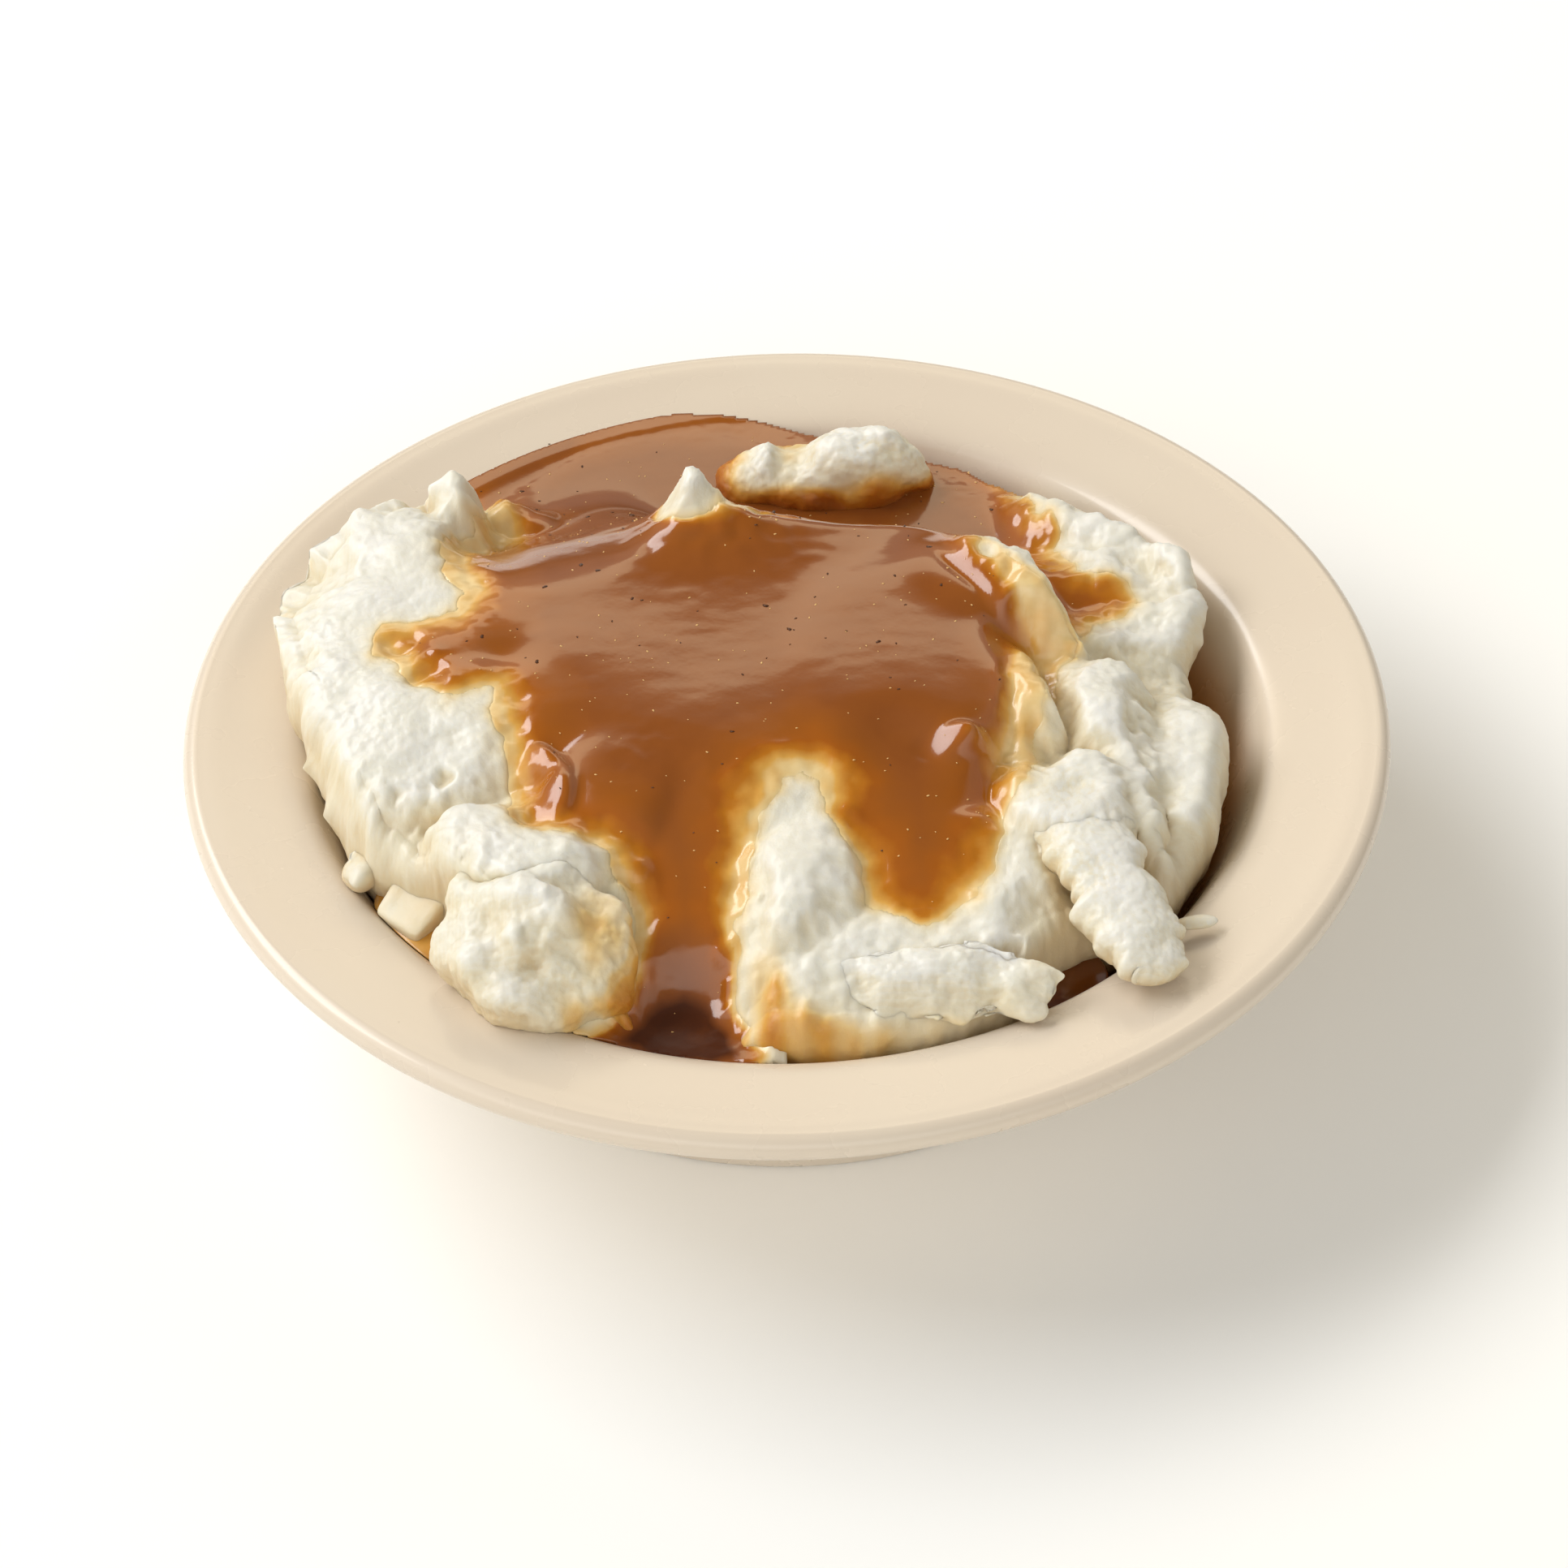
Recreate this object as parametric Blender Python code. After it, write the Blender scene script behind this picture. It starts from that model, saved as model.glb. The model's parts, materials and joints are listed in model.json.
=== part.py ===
"""A side dish of mashed potato under brown gravy, in its wide-rimmed melamine dish.

The frame stands on the table: +Z is up, the origin is under the middle of the foot and -Y is the front.
Sizes in the tables below are millimetres, and MM turns them to the metres of the scene.
The mash is one heap whose top is a height worked out from named hills. The gravy lies on it as a
layer of its own, and the spoonfuls, roll and crumbs that lie apart are closed lumps.
"""

import bmesh
import bpy
import numpy as np

MM = 0.001

# The dish, a 4 3/4 in fruit dish.
LIP_RADIUS = 1.4
DISH_RADIUS = 60.5
LIP_HEIGHT = 23.95
FOOT_RADIUS = 39.5
FOOT_RING = 3.0
FOOT_RECESS = 1.2
WELL_FLOOR = 3.4
WELL_RADIUS = 47.7
SEGMENTS = 44

# What keeps neighbours apart.
GAP = 0.3
BED_GAP = 0.35

# The mash and the gravy.
DOME_CENTRE = (-2.0, -2.0)
DOME_RADII = (50.0, 47.0)
DOME_TOP = 30.0
DOME_FALL = 7.5
HILL_FOOT = 20.0
BLEND = 1.6
BACK_POOL_LEVEL = 24.2
FRONT_POOL_LEVEL = 22.4
FILM = 0.7
POUR = 1.5
POOL_DEPTH = 2.0
POOL_OVERLAP = 0.6
# How far inside the gravy's edge its film, its body and the pool reach their depth.
FILM_EDGE = (-5.0, -2.0)
POUR_EDGE = 6.0
POOL_EDGE = 3.0
POOL_DEEPENS = (24, 34)
# How far past the heap the gravy's surface is carried, before the dish and the outline trim it.
FIRST_RIM_RING = 46.6
LAST_RIM_RING = 52.4
RING_STEP = 1.2
LEAST_GRAVY = 0.4
# The heap's side: the width of its shoulder, how far under its widest ring it lands on the wall,
# the lowest and the highest landing, and the knee where the wall bends in to the floor.
SHOULDER = 2.6
SIDE_TURNS = (35, 65, 90)
LEAST_DROP = 0.6
UNDERCUT = 7.0
LOWEST_LANDING = 13.5
RIM_LANDING = 24.9
RIM_STEP = 1.1
OVER_RIM = (46.1, 47.5)
WALL_TOP = 22.8
KNEE = 9.5
HEAP_FLOOR = 4.6
HEAP_FLOOR_RADIUS = 33.1
LOWEST_MASH_TOP = 19.6
COLUMNS = 54
TOP_RINGS = 12
RING_SPREAD = 0.85

# Hills of the food's surface: x, y, half length, half width, turn in degrees, top, flatness.
HILLS = {
    "plateau": (-6, -1, 33, 29, 0, 34.8, 1.5),
    "back_ridge": (2, 17.5, 14, 3.2, -3, 35.2, 1.0),
    "left_mass": (-39, 6, 14.5, 24, -4, 35.4, 2.2),
    "left_back": (-35, 23, 7.5, 9, 20, 35.5, 1.6),
    "left_front": (-33, -13, 13, 14, 0, 31.8, 1.6),
    "crest_back": (17.5, 13.0, 9.5, 7.0, -14, 36.2, 1.0),
    "crest_side": (22.4, 5.0, 12.0, 6.6, -72, 35.4, 1.0),
    "ledge": (11.5, -8.5, 12.2, 13.8, 0, 34.9, 3.2),
    "right_middle": (33, -2, 8.5, 9.5, 0, 31.2, 2.2),
    "right_front": (30, -20, 8.0, 10.5, 12, 31.8, 2.4),
    "right_bank": (19, -27, 5.5, 7, 0, 30.6, 1.8),
    "right_lobe": (39.5, -15, 6.5, 14.5, 6, 28.6, 2.6),
    "right_back": (34, 17, 12.5, 14.5, 20, 28.2, 2.6),
    "tongue": (1.5, -28, 6.5, 12, -6, 31.6, 1.6),
    "front_left": (-24, -23, 10, 9, 0, 31.8, 2.0),
}
# The fall from the plateau to the back pool, as a start and an end in y. It is gentle on the left and
# steep on the right, and turns from one to the other over a stretch of x.
GENTLE_FALL = (11, 35)
STEEP_FALL = (19, 29)
FALL_TURNS = (-16, -3)
# The fall's left and right limits: x where it starts and stops, how far that slants for each
# millimetre of y, and the y where it is read.
FALL_LEFT = (-31, -25, -0.35, 34)
FALL_RIGHT = (21, 29, 0.3, 30)
# The back pool lies behind the first y, and the front pool in front of the second.
BACK_POOL_FROM = 24
FRONT_POOL_FROM = -36
# The little spoon peak: x, y, flare, height over its hill.
PEAK = (-9.2, 18.6, 2.4, 6.5)
# Where the left stream ends in the front pool: x, y, half length, half width, turn, level, flatness.
FRONT_RUNNEL = (-10, -46, 7.5, 9.0, 0, 20.5, 1.4)

# The heap's side, round the well: angle from +X in degrees, widest radius, and its height.
HEAP_EDGE = (
    (0, 41.2, 23.5),
    (6, 41.0, 22.8),
    (14, 43.5, 24.3),
    (24, 46.2, 25.4),
    (35, 44.5, 25.0),
    (47, 42.8, 24.2),
    (62, 43.4, 22.2),
    (80, 44.6, 20.6),
    (110, 45.0, 20.4),
    (125, 45.2, 21.5),
    (134, 47.4, 29.5),
    (142, 48.2, 31.0),
    (150, 49.6, 31.5),
    (160, 52.0, 32.0),
    (168, 52.4, 32.0),
    (176, 50.6, 30.6),
    (185, 48.6, 28.2),
    (194, 47.0, 25.6),
    (212, 46.0, 23.8),
    (219, 43.4, 22.6),
    (228, 44.2, 22.4),
    (240, 45.8, 21.6),
    (262, 45.4, 20.8),
    (269, 46.3, 22.6),
    (297, 46.0, 22.4),
    (304, 43.4, 21.4),
    (312, 43.6, 21.6),
    (320, 45.6, 23.6),
    (338, 45.4, 24.0),
    (350, 44.6, 24.2),
)

# Where the gravy ends, seen from above, anticlockwise from the right of the back pool.
GRAVY_EDGE = (
    (26.5, 27.5), (24.2, 33.5), (20.5, 37.6), (15.0, 40.6), (7.0, 43.6), (1.3, 46.4), (-3.5, 48.4),
    (-9.7, 49.4), (-16.0, 48.6), (-22.8, 45.6), (-28.0, 42.0), (-30.4, 38.6), (-28.6, 35.0),
    (-31.5, 26.0), (-34.2, 20.0), (-34.8, 13.2), (-32.8, 10.0), (-29.9, 7.6), (-33.2, 3.6),
    (-39.8, 2.2), (-40.0, -1.2), (-35.4, -4.6), (-31.5, -5.6), (-27.2, -6.0), (-26.2, -11.8),
    (-25.4, -19.5), (-25.0, -25.4), (-20.6, -26.2), (-16.4, -25.0), (-14.4, -28.0), (-12.2, -32.0),
    (-10.8, -37.0), (-13.0, -41.0), (-15.2, -44.2), (-9.0, -46.8), (-2.6, -46.8), (-4.6, -41.0),
    (-5.6, -36.0), (-4.9, -30.5), (-3.6, -25.0), (-1.4, -21.2), (1.2, -19.0), (3.2, -21.0),
    (5.2, -25.6), (7.4, -29.8), (9.8, -33.2), (12.4, -34.4), (15.0, -32.8), (17.2, -29.4),
    (19.2, -24.8), (21.0, -19.0), (22.6, -12.0), (23.6, -6.0), (24.0, -2.4), (27.4, -1.0),
    (29.4, 4.4), (31.6, 10.6), (30.2, 16.0), (27.6, 21.0),
)

# Lumps: x, y, z, half sizes along their own x, y and z, turn, tilt (rise along x), share of unevenness.
LUMPS = {
    "mash_front_lump": (-22.8, -35.0, 27.6, 10.0, 8.8, 6.6, -12, 2, 0.09),
    "mash_back_lump": (5.2, 37.6, 25.4, 11.6, 4.9, 6.2, -6, 7, 0.10),
    "mash_shelf": (14.6, -39.7, 26.5, 10.6, 4.0, 2.4, -3, -2, 0.17),
    "mash_chip": (-36.0, -25.6, 23.9, 3.1, 2.3, 1.7, -48, 8, 0.05),
    "mash_crumb_left": (-42.4, -21.6, 25.6, 2.2, 1.5, 1.2, 40, 0, 0.08),
    "mash_crumb_right": (38.6, -32.6, 25.8, 2.2, 1.0, 0.8, 8, 6, 0.05),
}
LUMP_DETAIL = {"mash_front_lump": 3, "mash_back_lump": 3, "mash_shelf": 3}

# The roll of mash that hangs over the rim: x, y, z, half width, half thickness.
STRAND = (
    (24.8, -16.6, 31.8, 3.4, 2.4),
    (26.4, -21.0, 31.8, 4.2, 3.0),
    (27.8, -25.4, 31.0, 4.4, 3.1),
    (29.4, -29.6, 30.0, 4.2, 3.0),
    (31.3, -33.6, 29.0, 4.3, 2.9),
    (33.3, -37.2, 28.3, 3.9, 2.8),
    (34.8, -39.8, 27.9, 2.9, 2.3),
)
STRAND_SIDES = 12
STRAND_RINGS = 22
STRAND_KNOBS = 0.055

# Gravy that stands in the gaps at the wall: first and last angle, inner and outer radius, bottom, level.
PUDDLES = {
    "gravy_puddle_left": (211, 227, 42.0, 47.6, 18.4, 22.2),
    "gravy_puddle_right": (300, 313, 41.6, 47.4, 17.6, 21.4),
}

PUDDLE_STEPS = 7

# Colour, roughness and metallic value of each material.
MELAMINE = ("melamine_tan", (0.79, 0.67, 0.51, 1.0), 0.32, 0.0)
MASH = ("mashed_potato", (0.82, 0.79, 0.66, 1.0), 0.45, 0.0)
GRAVY = ("brown_gravy", (0.32, 0.13, 0.04, 1.0), 0.15, 0.0)


def clear_scene():
    for obj in list(bpy.data.objects):
        bpy.data.objects.remove(obj, do_unlink=True)


def material(name, colour, roughness, metallic):
    made = bpy.data.materials.get(name) or bpy.data.materials.new(name)
    made.use_nodes = True
    shader = made.node_tree.nodes["Principled BSDF"]
    shader.inputs["Base Color"].default_value = colour
    shader.inputs["Roughness"].default_value = roughness
    shader.inputs["Metallic"].default_value = metallic
    return made


def object_of(name, points, faces, finish):
    """A mesh object from points in millimetres, with its faces turned outwards."""
    mesh = bpy.data.meshes.new(name)
    mesh.from_pydata((np.asarray(points) * MM).tolist(), [], faces)
    shell = bmesh.new()
    shell.from_mesh(mesh)
    bmesh.ops.recalc_face_normals(shell, faces=shell.faces)
    if shell.calc_volume(signed=True) < 0:
        bmesh.ops.reverse_faces(shell, faces=shell.faces)
    shell.to_mesh(mesh)
    shell.free()
    mesh.shade_smooth()
    obj = bpy.data.objects.new(name, mesh)
    bpy.context.scene.collection.objects.link(obj)
    obj.data.materials.append(material(*finish))
    return obj


def cutter(obj):
    obj.hide_render = True
    obj.display_type = "WIRE"
    return obj


def cut(obj, tool, operation="DIFFERENCE"):
    boolean = obj.modifiers.new(operation.lower() + "_" + tool.name, "BOOLEAN")
    boolean.operation = operation
    boolean.object = tool
    boolean.solver = "EXACT"


def ease(start, end, value):
    """0 before start, 1 after end and an S curve between."""
    share = np.clip((value - start) / (end - start), 0, 1)
    return share * share * (3 - 2 * share)


def past(x, y, limit):
    """0 to the left of a slanting limit and 1 to the right of it."""
    start, end, slant, read_at = limit
    return ease(start, end, x + slant * (y - read_at))


def bump(x, y, centre_x, centre_y, half_length, half_width, turn, flatness):
    """1 at the middle of a turned ellipse, falling to 0 outside it. Flatness squares its shoulders."""
    angle = np.radians(turn)
    along = (x - centre_x) * np.cos(angle) + (y - centre_y) * np.sin(angle)
    across = (y - centre_y) * np.cos(angle) - (x - centre_x) * np.sin(angle)
    return np.exp(-(((along / half_length) ** 2 + (across / half_width) ** 2) ** flatness))


def smooth_max(first, second):
    share = np.clip(0.5 + 0.5 * (first - second) / BLEND, 0, 1)
    return second + (first - second) * share + BLEND * share * (1 - share)


def food_height(x, y):
    """The food's surface: a low dome, the hills on it, the fall at the back, the runnel and the peak."""
    across = (x - DOME_CENTRE[0]) / DOME_RADII[0]
    deep = (y - DOME_CENTRE[1]) / DOME_RADII[1]
    z = DOME_TOP - DOME_FALL * np.hypot(across, deep) ** 2.2
    for centre_x, centre_y, length, width, turn, top, flatness in HILLS.values():
        shape = bump(x, y, centre_x, centre_y, length, width, turn, flatness)
        z = smooth_max(z, HILL_FOOT + (top - HILL_FOOT) * shape)
    # At the back the plateau falls gently on the left, and steeply behind the ridge on the right.
    steep = ease(*FALL_TURNS, x)
    starts, ends = (
        gentle + (sharp - gentle) * steep for gentle, sharp in zip(GENTLE_FALL, STEEP_FALL)
    )
    fall = ease(starts, ends, y) * past(x, y, FALL_LEFT) * (1 - past(x, y, FALL_RIGHT))
    z = z - (z - (BACK_POOL_LEVEL - POOL_OVERLAP)) * fall
    runnel_x, runnel_y, length, width, turn, level, flatness = FRONT_RUNNEL
    z = z - (z - level) * bump(x, y, runnel_x, runnel_y, length, width, turn, flatness)
    peak_x, peak_y, flare, height = PEAK
    return z + height * np.exp(-np.hypot(x - peak_x, y - peak_y) / flare)


def spline(before, here, after, last, share):
    """The Catmull-Rom curve from here to after."""
    bend = 2 * before - 5 * here + 4 * after - last
    twist = 3 * (here - after) + last - before
    return here + 0.5 * share * (after - before + share * (bend + share * twist))


def closed_curve(knots, steps):
    """A closed Catmull-Rom curve through the knots, with this many points from each knot to the next."""
    knots = np.asarray(knots, float)
    share = np.linspace(0, 1, steps, endpoint=False)[None, :, None]
    rolled = (np.roll(knots, shift, axis=0)[:, None, :] for shift in (1, 0, -1, -2))
    return spline(*rolled, share).reshape(-1, knots.shape[1])


def depth_inside(x, y, edge):
    """Distance of points to a closed outline, negative outside it."""
    start = edge
    along = np.roll(edge, -1, axis=0) - edge
    offset_x = x[..., None] - start[:, 0]
    offset_y = y[..., None] - start[:, 1]
    share = (offset_x * along[:, 0] + offset_y * along[:, 1]) / (along**2).sum(axis=1)
    share = np.clip(share, 0, 1)
    distance = np.hypot(offset_x - share * along[:, 0], offset_y - share * along[:, 1]).min(axis=-1)
    end_y = start[:, 1] + along[:, 1]
    straddles = (start[:, 1] > y[..., None]) != (end_y > y[..., None])
    slope = np.where(along[:, 1] == 0, 1, along[:, 1])
    crossing = start[:, 0] + offset_y * along[:, 0] / slope
    inside = (straddles & (x[..., None] < crossing)).sum(axis=-1) % 2 == 1
    return np.where(inside, distance, -distance)


def gravy_height(x, y):
    """The gravy's surface: the food's, with the two pools standing level."""
    z = food_height(x, y)
    z = np.where(y > BACK_POOL_FROM, np.maximum(z, BACK_POOL_LEVEL), z)
    return np.where(y < FRONT_POOL_FROM, np.maximum(z, FRONT_POOL_LEVEL), z)


def mash_height(x, y):
    """The mash's surface: the food's, sunk under the gravy by the gravy's own depth."""
    inside = depth_inside(x, y, closed_curve(GRAVY_EDGE, 3))
    depth = (FILM + GAP) * ease(*FILM_EDGE, inside) + POUR * ease(0, POUR_EDGE, inside)
    depth = depth + POOL_DEPTH * ease(*POOL_DEEPENS, y) * ease(0, POOL_EDGE, inside)
    return np.maximum(gravy_height(x, y) - depth, LOWEST_MASH_TOP)


def dish_profile():
    """Radius and height from the middle of the underside out, over the lip and in to the well's floor."""
    lip_centre = DISH_RADIUS - LIP_RADIUS
    foot_inside = FOOT_RADIUS - FOOT_RING
    outside = [
        (0, FOOT_RECESS),
        (foot_inside - 1.0, FOOT_RECESS),
        (foot_inside, 0),
        (FOOT_RADIUS - 0.5, 0),
        (FOOT_RADIUS, 0.5),
        (FOOT_RADIUS + 1.0, 3.2),
        (WELL_RADIUS + 0.8, 18.6),
        (WELL_RADIUS + 3.4, 20.9),
        (lip_centre - 1.2, 22.1),
    ]
    turns = np.radians(np.linspace(-60, 100, 7))
    lip = [
        (lip_centre + LIP_RADIUS * np.cos(turn), LIP_HEIGHT + LIP_RADIUS * np.sin(turn)) for turn in turns
    ]
    return outside + lip + rim_and_well()


def rim_and_well():
    """The part of the profile that the food lies in, from the rim's flat inwards."""
    return [
        (WELL_RADIUS + 8.0, 24.85),
        (WELL_RADIUS + 2.3, 24.25),
        (WELL_RADIUS + 0.9, 23.9),
        (WELL_RADIUS, 23.2),
        (WELL_RADIUS - 0.8, 21.9),
        (WELL_RADIUS - 6.0, 10.4),
        (WELL_RADIUS - 9.0, 6.2),
        (WELL_RADIUS - 13.0, 4.1),
        (WELL_RADIUS - 17.7, WELL_FLOOR),
        (0, WELL_FLOOR),
    ]


def turned(name, profile, finish):
    """A closed solid of revolution: its profile, from axis to axis, spun by bmesh about Z."""
    shell = bmesh.new()
    points = [shell.verts.new((radius * MM, 0, height * MM)) for radius, height in profile]
    edges = [shell.edges.new(pair) for pair in zip(points, points[1:])]
    bmesh.ops.spin(
        shell,
        geom=points + edges,
        axis=(0, 0, 1),
        cent=(0, 0, 0),
        angle=2 * np.pi,
        steps=SEGMENTS,
        use_merge=True,
    )
    bmesh.ops.remove_doubles(shell, verts=shell.verts, dist=0.001 * MM)
    bmesh.ops.recalc_face_normals(shell, faces=shell.faces)
    mesh = bpy.data.meshes.new(name)
    shell.to_mesh(mesh)
    shell.free()
    mesh.shade_smooth()
    mesh.set_sharp_from_angle(angle=np.radians(40))
    obj = bpy.data.objects.new(name, mesh)
    bpy.context.scene.collection.objects.link(obj)
    obj.data.materials.append(material(*finish))
    return obj


def bed_profile():
    """A blank under the dish's upper surface raised by the gap: what it cuts rests clear of the dish."""
    raised = [(radius - BED_GAP, height + BED_GAP) for radius, height in rim_and_well()[:-1]]
    outside = [(0, -5), (DISH_RADIUS + 6, -5), (DISH_RADIUS + 6, 26.2), (DISH_RADIUS - 3, 25.8)]
    return outside + raised + [(0, WELL_FLOOR + BED_GAP)]


def wall_radius(height):
    """The well wall's radius at a height, less the gap that the food keeps to it."""
    wall = np.array(rim_and_well()[::-1])
    return np.interp(height, wall[1:, 1], wall[1:, 0]) - BED_GAP


def polar_shell(name, sections, fold, middle_top, middle_floor, finish):
    """A closed shell from one section for each angle. From ring fold on, where a section runs back
    under itself, the quads are split along their other diagonal, so that above and below match."""
    rings = sections.shape[1]
    count = len(sections) * rings
    points = np.vstack([sections.reshape(-1, 3), middle_top, middle_floor])
    faces = []
    for column in range(len(sections)):
        here = column * rings
        there = (column + 1) % len(sections) * rings
        faces.append([count, here, there])
        faces.extend([here + k, here + k + 1, there + k + 1] for k in range(fold))
        faces.extend([here + k, there + k + 1, there + k] for k in range(fold))
        faces.extend([here + k, here + k + 1, there + k] for k in range(fold, rings - 1))
        faces.extend([here + k + 1, there + k + 1, there + k] for k in range(fold, rings - 1))
        faces.append([count + 1, there + rings - 1, here + rings - 1])
    return object_of(name, points, faces, finish)


def round_the_well():
    """The angle of each column, and the heap's widest radius and its height there."""
    angle = np.linspace(0, 2 * np.pi, COLUMNS, endpoint=False)[:, None]
    table = np.array(HEAP_EDGE, float)
    widest = np.interp(np.degrees(angle), table[:, 0], table[:, 1], period=360)
    widest_height = np.interp(np.degrees(angle), table[:, 0], table[:, 2], period=360)
    return angle, widest, widest_height


def top_rings(angle, widest):
    """Radius, x and y of the top's rings, which the mash and the gravy share."""
    radius = (widest - SHOULDER) * (np.arange(1, TOP_RINGS + 1) / TOP_RINGS) ** RING_SPREAD
    return radius, radius * np.cos(angle), radius * np.sin(angle)


def middle_point(height_at, rise):
    return [0, 0, float(height_at(np.zeros(1), np.zeros(1))[0]) + rise]


def heap(name, grow, finish):
    """The mash as a shell over two parameters, the angle round the well and the place along its section.

    A section runs from the middle over the top to the shoulder, round the side at its widest, back to
    the wall of the well and down it to the floor. Grow thickens it, for cutting what lies on it.
    """
    angle, widest, widest_height = round_the_well()
    top_radius, x, y = top_rings(angle, widest)
    top_height = mash_height(x, y) + grow
    crown = top_height[:, -1:]
    widest_height = np.minimum(widest_height, crown - LEAST_DROP)
    turn = np.radians(SIDE_TURNS)
    side_radius = widest - SHOULDER + (SHOULDER + grow) * np.sin(turn)
    side_height = widest_height + (crown - widest_height) * np.cos(turn)
    # Over the rim the underside lands just inside its edge, and elsewhere it meets the wall lower down.
    over_rim = ease(*OVER_RIM, widest)
    landing = np.maximum(widest_height - UNDERCUT, LOWEST_LANDING)
    landing = landing + (RIM_LANDING - landing) * over_rim
    landing_radius = wall_radius(np.minimum(landing, WALL_TOP)) + RIM_STEP * ease(0.7, 1.0, over_rim)
    below = 0.5 * (landing + KNEE) + 0.25 * (RIM_LANDING - LOWEST_LANDING) * over_rim
    even = 0 * angle
    low_height = np.concatenate([landing, below, even + KNEE, even + HEAP_FLOOR - grow], axis=1)
    low_radius = [landing_radius, wall_radius(below), wall_radius(KNEE) + even, HEAP_FLOOR_RADIUS + even]
    low_radius = np.concatenate(low_radius, axis=1) + grow
    radius = np.concatenate([top_radius, side_radius, low_radius], axis=1)
    height = np.concatenate([top_height, side_height, low_height], axis=1)
    sections = np.stack([radius * np.cos(angle), radius * np.sin(angle), height], axis=-1)
    middle_floor = [0, 0, WELL_FLOOR + BED_GAP - grow]
    middle_top = middle_point(mash_height, grow)
    return polar_shell(name, sections, sections.shape[1] - 1, middle_top, middle_floor, finish)


def gravy_blank(name, finish):
    """The gravy before it is trimmed: its surface above, and the mash's, raised by the gap, below."""
    angle, widest, _ = round_the_well()
    radius, x, y = top_rings(angle, widest)
    upper = gravy_height(x, y)
    lower = np.minimum(mash_height(x, y) + GAP, upper - LEAST_GRAVY)
    first_rim = np.maximum(radius[:, -1:] + RING_STEP, FIRST_RIM_RING)
    rim = np.concatenate([first_rim, 0 * angle + LAST_RIM_RING], axis=1)
    radius = np.concatenate([radius, rim, rim[:, ::-1], radius[:, ::-1]], axis=1)
    rim_height = gravy_height(rim * np.cos(angle), rim * np.sin(angle))
    rim_floor = np.minimum(np.repeat(lower[:, -1:], 2, axis=1), rim_height - LEAST_GRAVY)
    height = np.concatenate([upper, rim_height, rim_floor[:, ::-1], lower[:, ::-1]], axis=1)
    sections = np.stack([radius * np.cos(angle), radius * np.sin(angle), height], axis=-1)
    middle_top = middle_point(gravy_height, 0)
    middle_floor = middle_point(mash_height, GAP)
    return polar_shell(name, sections, sections.shape[1] // 2, middle_top, middle_floor, finish)


def prism(name, outline, bottom, top, finish):
    """An outline carried straight up."""
    count = len(outline)
    points = [(x, y, bottom) for x, y in outline] + [(x, y, top) for x, y in outline]
    faces = [[k, (k + 1) % count, (k + 1) % count + count, k + count] for k in range(count)]
    faces += [list(reversed(range(count))), list(range(count, 2 * count))]
    return object_of(name, points, faces, finish)


def lump(name, grow, finish):
    """An icosphere drawn out to its half sizes, made uneven by three waves, tilted and turned."""
    x, y, z, half_x, half_y, half_z, turn, tilt, uneven = LUMPS[name.removesuffix("_room")]
    ball = bmesh.new()
    bmesh.ops.create_icosphere(ball, subdivisions=LUMP_DETAIL.get(name.removesuffix("_room"), 2), radius=1)
    unit = np.array([point.co for point in ball.verts])
    faces = [[corner.index for corner in face.verts] for face in ball.faces]
    ball.free()
    wave = np.sin(4.1 * unit[:, 0] + 2.3 * unit[:, 1] + x)
    wave = wave + np.sin(5.3 * unit[:, 1] - 3.1 * unit[:, 2] + y)
    wave = wave + np.sin(6.7 * unit[:, 2] + 4.9 * unit[:, 0] + z)
    shape = unit * (1 + uneven * wave[:, None] / 1.5) * (half_x, half_y, half_z) + unit * grow
    shape[:, 2] += shape[:, 0] * np.tan(np.radians(tilt))
    angle = np.radians(turn)
    turned_x = shape[:, 0] * np.cos(angle) - shape[:, 1] * np.sin(angle)
    turned_y = shape[:, 0] * np.sin(angle) + shape[:, 1] * np.cos(angle)
    points = np.stack([turned_x + x, turned_y + y, shape[:, 2] + z], axis=1)
    return object_of(name, points, faces, finish)


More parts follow.
